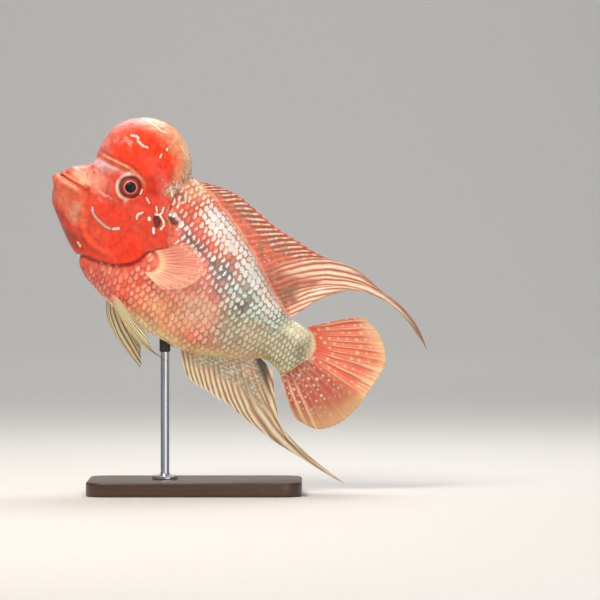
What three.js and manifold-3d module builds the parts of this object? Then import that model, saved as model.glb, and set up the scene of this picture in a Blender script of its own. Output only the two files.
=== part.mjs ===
// A flowerhorn cichlid, life size, as a still museum model on a plain display stand.
// The fish swims with its nose up. The left side faces -Y and the snout points towards -X, +Z is up.
// The origin is the middle of the stand's underside. All sizes are in millimetres and degrees.
//
// The fish is drawn in its own side view: s runs back from the front of the snout, h runs up, and the body lies level.
// One smooth skin is laid through a row of stations, raised or pressed in where the face has its features,
// and parted with thin cuts. Each fin is a sheet whose rays run from a root line to a margin.
import * as THREE from "three";
import { mergeVertices } from "three/addons/utils/BufferGeometryUtils.js";
import Module from "manifold-3d";

const wasm = await Module();
wasm.setup();

// Driving sizes
const noseUp = 33; // the body's pitch
const snout = { x: -100, z: 216 }; // where the front of the snout stands over the base
const tailSwing = 9; // how far the tail root is swung to the fish's right
const swingFrom = 80; // where along the body that swing begins
const swingTo = 212; // the end of the scaled tail root, which is the standard length
const gap = 0.3; // between pieces that touch
const base = { length: 150, depth: 92, height: 10, corner: 14, bevel: 1.5 };
const rod = { radius: 3, s: 126, h: -49, collarRadius: 9, collarHeight: 2.5, shoulder: 2, sides: 24 };

// Where each station's plane meets the back line and the belly line, from the mouth to the tail root, and the rows
// of the grid from there to the next
const stations = [
  { back: [2.4, 9.8], belly: [2.4, 9.8], steps: 3 }, // notch between the lips
  { back: [2.9, 13.6], belly: [-0.9, 6.4], steps: 3 }, // lips
  { back: [7.0, 18.6], belly: [0.9, 0.2], steps: 3 },
  { back: [13.5, 25.8], belly: [6.0, -9.6], steps: 4 },
  { back: [18.2, 31.2], belly: [16.5, -17.6], steps: 3 }, // forehead, chin
  { back: [15.8, 36.2], belly: [24.0, -22.8], steps: 3 }, // front of the hump
  { back: [12.8, 47.0], belly: [31.0, -27.0], steps: 4 },
  { back: [15.6, 61.2], belly: [37.2, -29.2], steps: 4 },
  { back: [25.0, 73.0], belly: [42.2, -30.8], steps: 4 }, // throat
  { back: [38.8, 79.8], belly: [46.8, -37.0], steps: 4 },
  { back: [54.4, 79.4], belly: [54.0, -41.2], steps: 4 }, // top of the hump, chest
  { back: [68.2, 72.6], belly: [62.0, -43.7], steps: 3 },
  { back: [75.6, 64.6], belly: [70.0, -45.8], steps: 3 },
  { back: [78.4, 59.4], belly: [76.0, -47.0], steps: 3 }, // nape
  { back: [86.5, 57.2], belly: [84.0, -48.5], steps: 3 },
  { back: [101.4, 53.4], belly: [100.0, -50.0], steps: 2 },
  { back: [123.1, 45.7], belly: [122.0, -49.6], steps: 2 }, // belly
  { back: [147.0, 34.9], belly: [143.0, -46.9], steps: 2 },
  { back: [173.0, 19.9], belly: [170.0, -35.2], steps: 2 },
  { back: [190.4, 12.7], belly: [189.6, -22.4], steps: 2 }, // tail root
  { back: [201.0, 12.9], belly: [200.0, -22.6], steps: 2 },
  { back: [209.5, 10.4], belly: [208.6, -22.6], steps: 3 },
  { back: [217.4, -4.6], belly: [217.4, -4.6] }, // end of the scales
];

// Half widths at named places of the side view, each with the reach over which it counts
const widths = [
  { s: 2, h: 10, half: 8, reach: 4 }, // lips
  { s: 9, h: 11, half: 13, reach: 6 },
  { s: 15, h: 26, half: 12.5, reach: 7 }, // top of the snout
  { s: 22, h: 12, half: 17, reach: 8 }, // corner of the mouth
  { s: 10, h: -5, half: 12.5, reach: 8 }, // chin
  { s: 28, h: -15, half: 16.5, reach: 9 }, // jaw
  { s: 40, h: -26, half: 17, reach: 8 }, // throat
  { s: 32, h: 26, half: 18.5, reach: 8 }, // in front of the eye
  { s: 47, h: 28, half: 22.5, reach: 8 }, // eye
  { s: 45, h: 6, half: 25, reach: 12 }, // cheek
  { s: 72, h: 4, half: 27, reach: 14 }, // gill cover
  { s: 62, h: -18, half: 24, reach: 10 },
  { s: 20, h: 40, half: 19, reach: 7 }, // front of the hump
  { s: 42, h: 60, half: 31, reach: 17 }, // hump
  { s: 66, h: 62, half: 27, reach: 9 },
  { s: 86, h: 52, half: 21, reach: 9 }, // nape
  { s: 84, h: 28, half: 26.5, reach: 14 }, // shoulder
  { s: 88, h: -38, half: 22, reach: 12 }, // chest
  { s: 106, h: 0, half: 28, reach: 20 }, // flank
  { s: 118, h: 36, half: 21, reach: 14 },
  { s: 120, h: -38, half: 22, reach: 14 }, // belly
  { s: 145, h: 0, half: 21, reach: 18 },
  { s: 170, h: -5, half: 14, reach: 16 },
  { s: 190, h: -5, half: 9, reach: 12 }, // tail root
  { s: 204, h: -5, half: 5.6, reach: 7 },
  { s: 216, h: -5, half: 3.6, reach: 5 },
];

// Lines of the face, in the side view
const eye = { s: 47, h: 28.5, radius: 8.2, depth: 6.2, sunk: 3.4, rim: 9.4 };
const mouthLine = [[-6, 10.2], [2.4, 9.8], [8.2, 8.8], [16, 10.1], [22.8, 13.2]];
const nostril = { s: 26.6, h: 29, radius: 1.5 };
const gillEdge = [[78, 33], [80, 26.5], [86.4, 22], [90.4, 14.2], [92.9, 7.3], [86.4, 2.2], [81.4, -3.4],
  [79, -11.4], [70, -20.7], [57, -26], [46.4, -28.2], [41, -31.4]];
const gillFront = [[45, -19.5], [52, -9], [59.5, 1.5], [62.5, 12], [63, 22], [68, 32]];
const humpFold = [[8, 32.6], [17.6, 33.6], [25.5, 37.2], [36, 39.6], [47, 39.4], [58, 37.6], [68, 40.5], [74, 48.5],
  [78.6, 60], [86, 66]];
const napeTop = [[79.4, 60.4], [76, 45]];
const jawBack = [[22.8, 13.2], [27, 4], [31, -8], [36, -19], [40.4, -30.2]];
const tailCut = [[187, 20], [181, -6], [184, -30]];

// Turns a place of the side view and its distance from the mid plane into the part's frame
const pitch = THREE.MathUtils.degToRad(noseUp);
function place(s, y, h) {
  const along = THREE.MathUtils.clamp((s - swingFrom) / (swingTo - swingFrom), 0, 2);
  const swing = tailSwing * (s > swingTo ? 2 * along - 1 : along * along);
  return new THREE.Vector3(
    snout.x + s * Math.cos(pitch) + h * Math.sin(pitch),
    y + swing,
    snout.z - s * Math.sin(pitch) + h * Math.cos(pitch),
  );
}

// A smooth curve through rows of numbers, read at t, which counts rows
function through(rows, t) {
  const i = Math.min(Math.max(Math.floor(t), 0), rows.length - 2);
  const f = t - i;
  const b = rows[i];
  const c = rows[i + 1];
  const a = rows[i - 1] ?? b.map((x, n) => 2 * x - c[n]);
  const d = rows[i + 2] ?? c.map((x, n) => 2 * x - b[n]);
  return b.map((x, n) => 0.5 * (2 * x + (c[n] - a[n]) * f + (2 * a[n] - 5 * x + 4 * c[n] - d[n]) * f * f
    + (3 * x - a[n] - 3 * c[n] + d[n]) * f * f * f));
}

// A smooth curve as a list of points, with the given number of steps to each row
function curve(rows, steps) {
  return Array.from({ length: (rows.length - 1) * steps + 1 }, (_, i) => through(rows, i / steps));
}

// Distance from a place to a line of points
function distanceTo(line, s, h) {
  let least = Infinity;
  for (let i = 0; i + 1 < line.length; i++) {
    const [ds, dh] = [line[i + 1][0] - line[i][0], line[i + 1][1] - line[i][1]];
    const f = THREE.MathUtils.clamp(((s - line[i][0]) * ds + (h - line[i][1]) * dh) / (ds * ds + dh * dh), 0, 1);
    least = Math.min(least, Math.hypot(s - line[i][0] - f * ds, h - line[i][1] - f * dh));
  }
  return least;
}

// A soft bump of height 1 at distance 0
const bump = (distance, reach) => Math.exp(-((distance / reach) ** 2));

// The half width before the edge is rounded off: a mean of the named widths by nearness
function fullness(s, h) {
  let [sum, weight] = [0, 1e-12];
  for (const place of widths) {
    const near = Math.exp(-((s - place.s) ** 2 + (h - place.h) ** 2) / (2 * place.reach ** 2));
    sum += place.half * near;
    weight += near;
  }
  return sum / weight;
}

const backLine = stations.map((station) => station.back);
const bellyLine = stations.map((station) => station.belly);
const roundness = 2.2; // 2 makes each section an ellipse

// The bare body at station number k and angle round it, from 0 at the belly to half a turn at the back
function bareSkin(k, angle) {
  const top = through(backLine, k);
  const low = through(bellyLine, k);
  const up = (1 - Math.cos(angle)) / 2;
  const s = low[0] + (top[0] - low[0]) * up;
  const h = low[1] + (top[1] - low[1]) * up;
  const edge = Math.sqrt(Math.max(0, 1 - Math.abs(Math.cos(angle)) ** roundness));
  return [s, Math.sign(Math.sin(angle)) * fullness(s, h) * edge, h];
}

// How far the skin stands out of the bare body: lips, orbit, nostril, gill cover and the fold under the hump
const gillLine = curve(gillEdge, 2);
const foldLine = curve(humpFold, 2);
const gillDepth = { height: 1.5, reach: 9 };
function relief(s, h, inGill) {
  const toMouth = distanceTo(mouthLine, s, h);
  const lips = 2.2 * bump(toMouth - 3.6, 2.4) * THREE.MathUtils.smoothstep(24 - s, 0, 10);
  const slit = -1.3 * bump(toMouth, 1.3) * THREE.MathUtils.smoothstep(25 - s, 0, 4);
  const toEye = Math.hypot(s - eye.s, h - eye.h);
  const orbit = 1.5 * bump(toEye - eye.rim, 1.8);
  const pit = -1.2 * bump(Math.hypot(s - nostril.s, h - nostril.h), nostril.radius);
  const toGill = distanceTo(gillLine, s, h);
  const gill = inGill ? gillDepth.height * bump(toGill, gillDepth.reach) : -0.5 * bump(toGill, 2);
  const fold = -1.6 * bump(distanceTo(foldLine, s, h), 2.2) * THREE.MathUtils.smoothstep(66 - s, 0, 12);
  return lips + slit + orbit + pit + gill + fold;
}

// Whether a place lies inside an outline
function inside(outline, s, h) {
  let odd = false;
  for (let i = 0, j = outline.length - 1; i < outline.length; j = i++) {
    const [a, b] = [outline[i], outline[j]];
    if (a[1] > h !== b[1] > h && s < ((b[0] - a[0]) * (h - a[1])) / (b[1] - a[1]) + a[0]) odd = !odd;
  }
  return odd;
}

// The outlines of the regions that the skin is parted into
const farUp = 110;
const farDown = -70;
const farAhead = -25;
const headOutline = [...curve([[79.6, farUp], ...napeTop, ...gillEdge], 2), [38, farDown], [farAhead, farDown],
  [farAhead, farUp]];
const humpOutline = [...foldLine, [96, 84], [86, farUp], [farAhead, farUp], [farAhead, 33]];
const jawOutline = [...mouthLine.slice(0, -1), ...curve(jawBack, 2), [36, farDown], [farAhead, farDown],
  [farAhead, 10.2]];
const coverOutline = [...curve(gillEdge.slice(0, -1), 2), ...curve(gillFront, 2)];
const tailOutline = [...curve(tailCut, 4), [184, farDown], [260, farDown], [260, farUp], [187, farUp]];

// The finished skin, moved out by grow
function skin(k, angle, grow) {
  const step = 0.02;
  const at = (dk, da) => new THREE.Vector3(...bareSkin(k + dk, angle + da));
  const [s, y, h] = bareSkin(k, angle);
  const alongK = at(step, 0).sub(at(-step, 0));
  const round = at(0, step).sub(at(0, -step));
  const normal = round.cross(alongK).normalize();
  const out = relief(s, h, inside(headOutline, s, h)) + grow;
  return place(s + normal.x * out, y + normal.y * out, h + normal.z * out);
}

// A closed mesh as a manifold-3d solid, turned to face out
function solid(geometry) {
  const bare = geometry.clone();
  for (const name of Object.keys(bare.attributes)) if (name !== "position") bare.deleteAttribute(name);
  const merged = mergeVertices(bare, 1e-4);
  const faces = Array.from(merged.index.array);
  const kept = [];
  for (let i = 0; i < faces.length; i += 3) {
    const [a, b, c] = faces.slice(i, i + 3);
    if (a !== b && b !== c && a !== c) kept.push(a, b, c);
  }
  const make = () => new wasm.Manifold(new wasm.Mesh({
    numProp: 3,
    vertProperties: new Float32Array(merged.attributes.position.array),
    triVerts: new Uint32Array(kept),
  }));
  const made = make();
  if (made.volume() > 0) return made;
  for (let i = 0; i < kept.length; i += 3) [kept[i], kept[i + 1]] = [kept[i + 1], kept[i]];
  return make();
}

// Only the largest closed surface of a solid, which drops scraps and fills sealed hollows
function largest(body) {
  return body.decompose().reduce((a, b) => (b.volume() > a.volume() ? b : a));
}

// The whole body as one solid: a sphere's grid laid onto the skin, its poles at the mouth and the tail root
const lastStation = stations.length - 1;
const fineRows = [...stations.flatMap(({ steps = 0 }, k) => Array.from({ length: steps }, (_, i) => k + i / steps)),
  lastStation];
const plainRows = stations.map((_, k) => k);
const fineRound = 34;
const plainRound = 20;
function body(grow, bodyRows, stepsRound) {
  const rows = bodyRows.length - 1;
  const geometry = new THREE.SphereGeometry(1, stepsRound, rows);
  const position = geometry.attributes.position;
  for (let i = 0; i < position.count; i++) {
    const row = Math.floor(i / (stepsRound + 1));
    const column = (i % (stepsRound + 1)) % stepsRound;
    const pole = row === 0 ? -grow : grow;
    const [s, , h] = row === 0 ? bareSkin(0, 0) : bareSkin(lastStation, 0);
    const point = row === 0 || row === rows ? place(s + pole, 0, h)
      : skin(bodyRows[row], (column / stepsRound) * 2 * Math.PI, grow);
    position.setXYZ(i, point.x, point.y, point.z);
  }
  return solid(geometry);
}

// A block whose outline is drawn in the side view, from one distance beside the mid plane to another
function block(outline, low, high, grow = 0) {
  const area = THREE.ShapeUtils.area(outline.map(([s, h]) => new THREE.Vector2(s, h)));
  const turn = Math.sign(area) * grow;
  const moved = outline.map(([s, h], i) => {
    const before = outline[(i + outline.length - 1) % outline.length];
    const after = outline[(i + 1) % outline.length];
    const [ds, dh] = [after[0] - before[0], after[1] - before[1]];
    const length = Math.hypot(ds, dh);
    return new THREE.Vector2(s + (dh / length) * turn, h - (ds / length) * turn);
  });
  const geometry = new THREE.ExtrudeGeometry(new THREE.Shape(moved), {
    depth: high - low + 2 * grow, bevelEnabled: false, steps: 1,
  });
  const position = geometry.attributes.position;
  for (let i = 0; i < position.count; i++) {
    const point = place(position.getX(i), position.getZ(i) + low - grow, position.getY(i));
    position.setXYZ(i, point.x, point.y, point.z);
  }
  return solid(geometry);
}

// The skin's half width over a place of the side view
function halfWidthAt(s, h) {
  for (let k = 0.05; k < lastStation; k += 0.05) {
    const top = through(backLine, k);
    const low = through(bellyLine, k);
    const side = (top[0] - low[0]) * (h - low[1]) - (top[1] - low[1]) * (s - low[0]);
    if (side > 0) {
      const up = THREE.MathUtils.clamp((h - low[1]) / (top[1] - low[1]), 0, 1);
      return fullness(s, h) * Math.sqrt(1 - Math.abs(2 * up - 1) ** roundness);
    }
  }
  return 0;
}

// Parting the body
const far = 60;
const coverThickness = 3.6;
const coverFromMiddle = 5;
const whole = body(0, fineRows, fineRound);
const grown = body(gap, fineRows, fineRound);
const inner = body(-coverThickness, plainRows, plainRound);
const innerGrown = body(-coverThickness - gap, plainRows, plainRound);
const headPart = whole.intersect(block(headOutline, -far, far));
const hump = headPart.intersect(block(humpOutline, -far, far));
const belowHump = headPart.subtract(block(humpOutline, -far, far, gap));
const jaw = belowHump.intersect(block(jawOutline, -far, far));
const upperHead = belowHump.subtract(block(jawOutline, -far, far, gap));
const afterHead = whole.subtract(block(headOutline, -far, far, gap));
const torso = afterHead.subtract(block(tailOutline, -far, far, gap));
const tailRoot = afterHead.intersect(block(tailOutline, -far, far));
const sides = { left: -1, right: 1 };
const [covers, eyes] = [{}, {}];
let head = upperHead;
for (const [name, side] of Object.entries(sides)) {
  const [low, high] = side < 0 ? [-far, -coverFromMiddle] : [coverFromMiddle, far];
  covers[name] = upperHead.intersect(block(coverOutline, low, high)).subtract(inner);
  head = head.subtract(block(coverOutline, low, high, gap).subtract(innerGrown));
  const ball = (grow) => {
    const geometry = new THREE.SphereGeometry(1, 18, 10);
    geometry.scale(eye.radius + grow, eye.depth + grow, eye.radius + grow);
    const centre = place(eye.s, side * (halfWidthAt(eye.s, eye.h) - eye.sunk), eye.h);
    geometry.translate(centre.x, centre.y, centre.z);
    return solid(geometry);
  };
  eyes[name] = ball(0);
  head = head.subtract(ball(gap));
}

// A fin is a sheet: u runs out along the rays and v across them. Key rays give the root, the tip and the
// directions, in degrees above the body's axis, in which a ray leaves its root and reaches its tip.
function finPlace(fin, u, v) {
  const key = fin.keys;
  const last = key.findIndex((ray) => ray.v >= v - 1e-9);
  const i = Math.max(last, 1);
  const t = i - 1 + (v - key[i - 1].v) / (key[i].v - key[i - 1].v);
  const rows = key.map((ray) => [...ray.root, ...ray.tip, ray.leave, ray.reach, ray.curl ?? fin.curl]);
  const [rs, rh, ts, th, leave, reach, curl] = through(rows, t);
  const length = Math.hypot(ts - rs, th - rh);
  const [a, b] = [leave, reach].map(THREE.MathUtils.degToRad);
  const arm = length * curl;
  const start = [rs - fin.sunk * Math.cos(a), rh - fin.sunk * Math.sin(a)];
  const out = [rs + arm * Math.cos(a), rh + arm * Math.sin(a)];
  const back = [ts - arm * Math.cos(b), th - arm * Math.sin(b)];
  const w = 1 - u;
  return [0, 1].map((n) => w * w * w * start[n] + 3 * w * w * u * out[n] + 3 * w * u * u * back[n]
    + u * u * u * [ts, th][n]);
}

// The margin is drawn in between the rays, most where the fin is spiny
function finPoint(fin, u, v, side) {
  const ray = v * fin.rays;
  const ridge = 0.5 + 0.5 * Math.cos(2 * Math.PI * ray);
  const spiny = 1 - THREE.MathUtils.smoothstep(v, fin.spinyTo - 0.04, fin.spinyTo + 0.04);
  const drawnIn = 1 - (1 - ridge) * (fin.notch * spiny + fin.softNotch);
  const [s, h] = finPlace(fin, u * drawnIn, v);
  const taper = 1 - 0.55 * u;
  const half = (fin.membrane + fin.ridge * ridge) * taper + fin.rootSwell * Math.max(0, 1 - 5 * u) ** 2;
  return place(s, fin.offset(u, v) + side * half, h);
}

// A closed solid from a sheet's two faces, split into triangles alike on both
function sheet(point, columns, rows) {
  const positions = [];
  for (const side of [-1, 1]) {
    for (let j = 0; j <= rows; j++) {
      for (let i = 0; i <= columns; i++) positions.push(...point(j / rows, i / columns, side).toArray());
    }
  }
  const layer = (rows + 1) * (columns + 1);
  const at = (i, j, face) => face * layer + j * (columns + 1) + i;
  const faces = [];
  for (let j = 0; j < rows; j++) {
    for (let i = 0; i < columns; i++) {
      for (const face of [0, 1]) {
        const corners = [at(i, j, face), at(i + 1, j, face), at(i + 1, j + 1, face), at(i, j + 1, face)];
        const quad = [corners[0], corners[1], corners[2], corners[0], corners[2], corners[3]];
        faces.push(...(face ? quad.reverse() : quad));
      }
    }
  }
  const rim = [];
  for (let i = 0; i < columns; i++) rim.push([i, 0]);
  for (let j = 0; j < rows; j++) rim.push([columns, j]);
  for (let i = columns; i > 0; i--) rim.push([i, rows]);
  for (let j = rows; j > 0; j--) rim.push([0, j]);
  rim.forEach(([i, j], n) => {
    const [i2, j2] = rim[(n + 1) % rim.length];
    faces.push(at(i, j, 0), at(i, j, 1), at(i2, j2, 1), at(i, j, 0), at(i2, j2, 1), at(i2, j2, 0));
  });
  const geometry = new THREE.BufferGeometry();
  geometry.setAttribute("position", new THREE.Float32BufferAttribute(positions, 3));
  geometry.setIndex(faces);
  return solid(geometry);
}

const wave = (u, reach) => reach * u * u;
const fins = {
  dorsal_fin: {
    rays: 30, rows: 7, sunk: 5, curl: 0.36, membrane: 0.35, ridge: 0.4, rootSwell: 1.6, spinyTo: 0.58, notch: 0.1,
    softNotch: 0.01,
    offset: (u, v) => wave(u, 3 * Math.sin(5 * v) - 9 * THREE.MathUtils.smoothstep(v, 0.6, 0.8)),
    keys: [
      { v: 0, root: [84, 57.6], tip: [91, 60.4], leave: 25, reach: 15 },
      { v: 0.08, root: [91, 56.3], tip: [102, 63.6], leave: 40, reach: 25 },
      { v: 0.2, root: [103, 52.9], tip: [118, 64.8], leave: 45, reach: 30 },
      { v: 0.37, root: [123.1, 45.7], tip: [146, 61], leave: 45, reach: 28 },
      { v: 0.5, root: [140.6, 37.9], tip: [167.3, 61.1], leave: 48, reach: 30 },
      { v: 0.6, root: [153, 31.7], tip: [186, 61.4], leave: 55, reach: 20 },
      { v: 0.68, root: [161, 27], tip: [212, 66.4], leave: 60, reach: 5 },
      { v: 0.73, root: [166, 24], tip: [236, 63], leave: 62, reach: -8 },
      { v: 0.76, root: [169, 22.2], tip: [259, 59.2], leave: 62, reach: -16, curl: 0.38 },
      { v: 0.79, root: [171.6, 20.6], tip: [283.1, 46.1], leave: 60, reach: -42, curl: 0.42 },
      { v: 0.82, root: [174.4, 19.2], tip: [256, 57.4], leave: 60, reach: -12, curl: 0.38 },
      { v: 0.85, root: [177, 17.8], tip: [236, 58.4], leave: 60, reach: -2 },
      { v: 0.89, root: [180.5, 16.2], tip: [217, 52.4], leave: 58, reach: 20 },
      { v: 0.95, root: [185.5, 14.2], tip: [201.5, 35.6], leave: 56, reach: 42 },
      { v: 1, root: [190, 12.6], tip: [193.6, 19], leave: 60, reach: 55 },
    ],
  },
  anal_fin: {
    rays: 17, rows: 8, sunk: 5, curl: 0.34, membrane: 0.35, ridge: 0.4, rootSwell: 1.6, spinyTo: 0.46, notch: 0.13,
    softNotch: 0.01,
    offset: (u, v) => wave(u, -2 * Math.sin(4 * v) - 5 * THREE.MathUtils.smoothstep(v, 0.5, 0.76)),
    keys: [
      { v: 0, root: [138.4, -48.4], tip: [151.5, -61], leave: -50, reach: -38 },
      { v: 0.1, root: [143.5, -46.7], tip: [160.8, -62.8], leave: -48, reach: -36 },
      { v: 0.22, root: [150, -44], tip: [169.5, -62.6], leave: -50, reach: -34 },
      { v: 0.34, root: [157, -41], tip: [180, -63.2], leave: -52, reach: -32 },
      { v: 0.45, root: [163, -38.3], tip: [191, -62.6], leave: -52, reach: -26 },
      { v: 0.56, root: [169, -35.4], tip: [208, -64.4], leave: -52, reach: -14 },
      { v: 0.67, root: [175.5, -32.3], tip: [234, -66.2], leave: -52, reach: -5 },
      { v: 0.75, root: [180, -30], tip: [286.4, -64.4], leave: -48, reach: 3 },
      { v: 0.83, root: [184, -27.4], tip: [237, -59.9], leave: -42, reach: -18 },
      { v: 0.92, root: [187.4, -24.6], tip: [217.5, -46], leave: -34, reach: -42 },
      { v: 1, root: [190, -22.6], tip: [201, -26], leave: -12, reach: -25 },
    ],
  },
  caudal_fin: {
    rays: 16, rows: 7, sunk: 6, curl: 0.3, membrane: 0.35, ridge: 0.4, rootSwell: 1.4, spinyTo: -1, notch: 0,
    softNotch: 0.012,
    offset: (u, v) => wave(u, 12 * Math.max(0, v - 0.5) + 7 * Math.max(0, 0.5 - v)) - 1.5 * u * bump(v - 0.5, 0.1),
    keys: [
      { v: 0, root: [203, 12.4], tip: [235, 41], leave: 42, reach: 24 },
      { v: 0.12, root: [208, 10.6], tip: [248, 37.9], leave: 36, reach: 34 },
      { v: 0.25, root: [212, 7], tip: [258.5, 30.5], leave: 25, reach: 26 },
      { v: 0.38, root: [214.6, 2.6], tip: [265, 19.5], leave: 14, reach: 18 },
      { v: 0.5, root: [215.4, -2.3], tip: [265.4, -1.6], leave: 1, reach: 1 },
      { v: 0.62, root: [215, -8], tip: [264.6, -16.5], leave: -9, reach: -10 },
      { v: 0.75, root: [213, -13.6], tip: [259.5, -32.5], leave: -20, reach: -22 },
      { v: 0.88, root: [209.6, -18.6], tip: [249, -43.3], leave: -32, reach: -30 },
      { v: 1, root: [204, -22.4], tip: [234, -45.3], leave: -44, reach: -20 },
    ],
  },
};

// A paired fin stands out from the body: flare is how far its tip is carried out, clear is how far out it starts,
// and its root dives into the body by dive over the share diveTo of its length
const pectoral = {
  rays: 13, rows: 5, sunk: 3, curl: 0.3, membrane: 0.35, ridge: 0.35, rootSwell: 1.2, spinyTo: -1, notch: 0,
  softNotch: 0.012, from: [88, -8], flare: 12, clear: 1, dive: 6, diveTo: 0.13,
  keys: [
    { v: 0, root: [85, 0.4], tip: [101.6, 18.4], leave: 40, reach: 50 },
    { v: 0.2, root: [88.4, -1.8], tip: [111.6, 17.4], leave: 32, reach: 40 },
    { v: 0.4, root: [90.6, -5], tip: [120.8, 11.8], leave: 22, reach: 30 },
    { v: 0.6, root: [91.4, -8.6], tip: [123.4, 3.6], leave: 12, reach: 18 },
    { v: 0.8, root: [90.6, -12.2], tip: [117.8, -8.8], leave: 0, reach: 4 },
    { v: 1, root: [87.4, -15], tip: [105.4, -18.4], leave: -12, reach: -10 },
  ],
};
const pelvicLeft = {
  rays: 6, rows: 8, sunk: 3, curl: 0.33, membrane: 0.4, ridge: 0.4, rootSwell: 1.2, spinyTo: -1, notch: 0,
  softNotch: 0.02, from: [79, -41], flare: 15, clear: 0, dive: 3, diveTo: 0.08,
  keys: [
    { v: 0, root: [75.6, -40.6], tip: [119, -59.2], leave: -42, reach: -4 },
    { v: 0.2, root: [76.8, -40.4], tip: [136.6, -58.2], leave: -40, reach: 6 },
    { v: 0.4, root: [78, -40.2], tip: [122.4, -57.6], leave: -36, reach: -10 },
    { v: 0.7, root: [80, -40.2], tip: [114, -51], leave: -26, reach: -22 },
    { v: 1, root: [82, -40.4], tip: [100, -46], leave: -16, reach: -20 },
  ],
};
const pelvicRight = {
  ...pelvicLeft, flare: 17,
  keys: [
    { v: 0, root: [74, -42], tip: [111, -71.8], leave: -88, reach: -18, curl: 0.37 },
    { v: 0.2, root: [75.8, -41.8], tip: [121, -74.8], leave: -76, reach: -18 },
    { v: 0.4, root: [77.8, -41.6], tip: [117, -67.6], leave: -46, reach: -30 },
    { v: 0.7, root: [79.8, -41.4], tip: [110, -58.6], leave: -34, reach: -28 },
    { v: 1, root: [82, -41.4], tip: [98, -50.4], leave: -24, reach: -26 },
  ],
};

function pairedFin(fin, side) {
  const root = halfWidthAt(...fin.from) + fin.clear;
  return { ...fin, offset: (u) => side * (root + fin.flare * (1.3 * u - 0.3 * u * u) - fin.dive * bump(u, fin.diveTo)) };
}

function finSolid(fin) {
  const made = sheet((u, v, side) => finPoint(fin, u, v, side), fin.rays * 2, fin.rows);
  return largest(made.subtract(grown));
}

fins.pectoral_fin_left = pairedFin(pectoral, sides.left);
fins.pectoral_fin_right = pairedFin(pectoral, sides.right);
fins.pelvic_fin_left = pairedFin(pelvicLeft, sides.left);
fins.pelvic_fin_right = pairedFin(pelvicRight, sides.right);

// The stand: a slab with rounded corners, and a rod with a collar at its foot, cut to the belly
function slab() {
  const [a, b, r] = [base.length / 2 - base.bevel, base.depth / 2 - base.bevel, base.corner - base.bevel];
  const shape = new THREE.Shape();
  shape.moveTo(-a + r, -b);
  shape.lineTo(a - r, -b).absarc(a - r, -b + r, r, -Math.PI / 2, 0, false);
  shape.lineTo(a, b - r).absarc(a - r, b - r, r, 0, Math.PI / 2, false);
  shape.lineTo(-a + r, b).absarc(-a + r, b - r, r, Math.PI / 2, Math.PI, false);
  shape.lineTo(-a, -b + r).absarc(-a + r, -b + r, r, Math.PI, 1.5 * Math.PI, false);
  const geometry = new THREE.ExtrudeGeometry(shape, {
    depth: base.height - 2 * base.bevel, bevelThickness: base.bevel, bevelSize: base.bevel, bevelSegments: 1,
    curveSegments: 5,
  });
  geometry.translate(0, 0, base.bevel);
  return solid(geometry);
}

function standRod() {
  const foot = base.height + gap;
  const belly = place(rod.s, 0, rod.h);
  const top = belly.z + 6;
  const profile = [[0, foot], [rod.collarRadius, foot], [rod.collarRadius, foot + rod.collarHeight],
    [rod.radius, foot + rod.collarHeight + rod.shoulder], [rod.radius, top], [0, top]];
  const geometry = new THREE.LatheGeometry(profile.map(([r, z]) => new THREE.Vector2(r, z)), rod.sides);
  geometry.rotateX(Math.PI / 2);
  geometry.translate(belly.x, belly.y, 0);
  return largest(solid(geometry).subtract(grown));
}

// The model
const paint = {
  skin: { color: 0xe8452c, roughness: 0.35, metalness: 0 },
  flank: { color: 0xd98a6a, roughness: 0.4, metalness: 0 },
  fin: { color: 0xd9603c, roughness: 0.5, metalness: 0 },
  eye: { color: 0x101010, roughness: 0.1, metalness: 0 },
  wood: { color: 0x3a2417, roughness: 0.5, metalness: 0 },
  steel: { color: 0xb9bcc0, roughness: 0.35, metalness: 1 },
};
const fish = new THREE.Group();

function add(name, body, finish) {
  const made = largest(body).getMesh();
  const geometry = new THREE.BufferGeometry();
  geometry.setAttribute("position", new THREE.BufferAttribute(made.vertProperties, 3));
  geometry.setIndex(new THREE.BufferAttribute(made.triVerts, 1));
  geometry.computeVertexNormals();
  const mesh = new THREE.Mesh(geometry, new THREE.MeshStandardMaterial(paint[finish]));
  mesh.name = name;
  fish.add(mesh);
}

add("head", head, "skin");
add("nuchal_hump", hump, "skin");
add("lower_jaw", jaw, "skin");
add("torso", torso, "flank");
add("tail_root", tailRoot, "flank");
for (const name of Object.keys(sides)) {
  add(`gill_cover_${name}`, covers[name], "skin");
  add(`eye_${name}`, eyes[name], "eye");
}
for (const [name, fin] of Object.entries(fins)) add(name, finSolid(fin), "fin");
add("stand_base", slab(), "wood");
add("stand_rod", standRod(), "steel");

export default fish;
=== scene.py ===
# A flowerhorn cichlid as a life-size museum model, swimming nose up on a plain display stand.
# The fish is worked out in its own side view, in millimetres: s runs back from the front of the snout,
# h runs up, and y runs out from the mid plane, to the fish's right. place() turns that into metres.
import functools
import math

import bpy
import numpy as np
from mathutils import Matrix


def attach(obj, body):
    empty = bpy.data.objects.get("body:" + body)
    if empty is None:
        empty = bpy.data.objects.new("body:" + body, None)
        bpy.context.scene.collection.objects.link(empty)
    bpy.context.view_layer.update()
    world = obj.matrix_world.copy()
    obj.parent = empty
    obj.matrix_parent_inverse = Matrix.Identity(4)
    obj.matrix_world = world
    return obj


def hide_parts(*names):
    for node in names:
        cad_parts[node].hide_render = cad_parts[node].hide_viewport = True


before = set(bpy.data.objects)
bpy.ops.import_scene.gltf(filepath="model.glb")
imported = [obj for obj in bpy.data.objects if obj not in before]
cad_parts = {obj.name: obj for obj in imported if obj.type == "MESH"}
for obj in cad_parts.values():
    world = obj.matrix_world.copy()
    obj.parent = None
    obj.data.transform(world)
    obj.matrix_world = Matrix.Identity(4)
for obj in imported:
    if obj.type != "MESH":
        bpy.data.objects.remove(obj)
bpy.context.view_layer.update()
scene = bpy.context.scene
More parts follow.
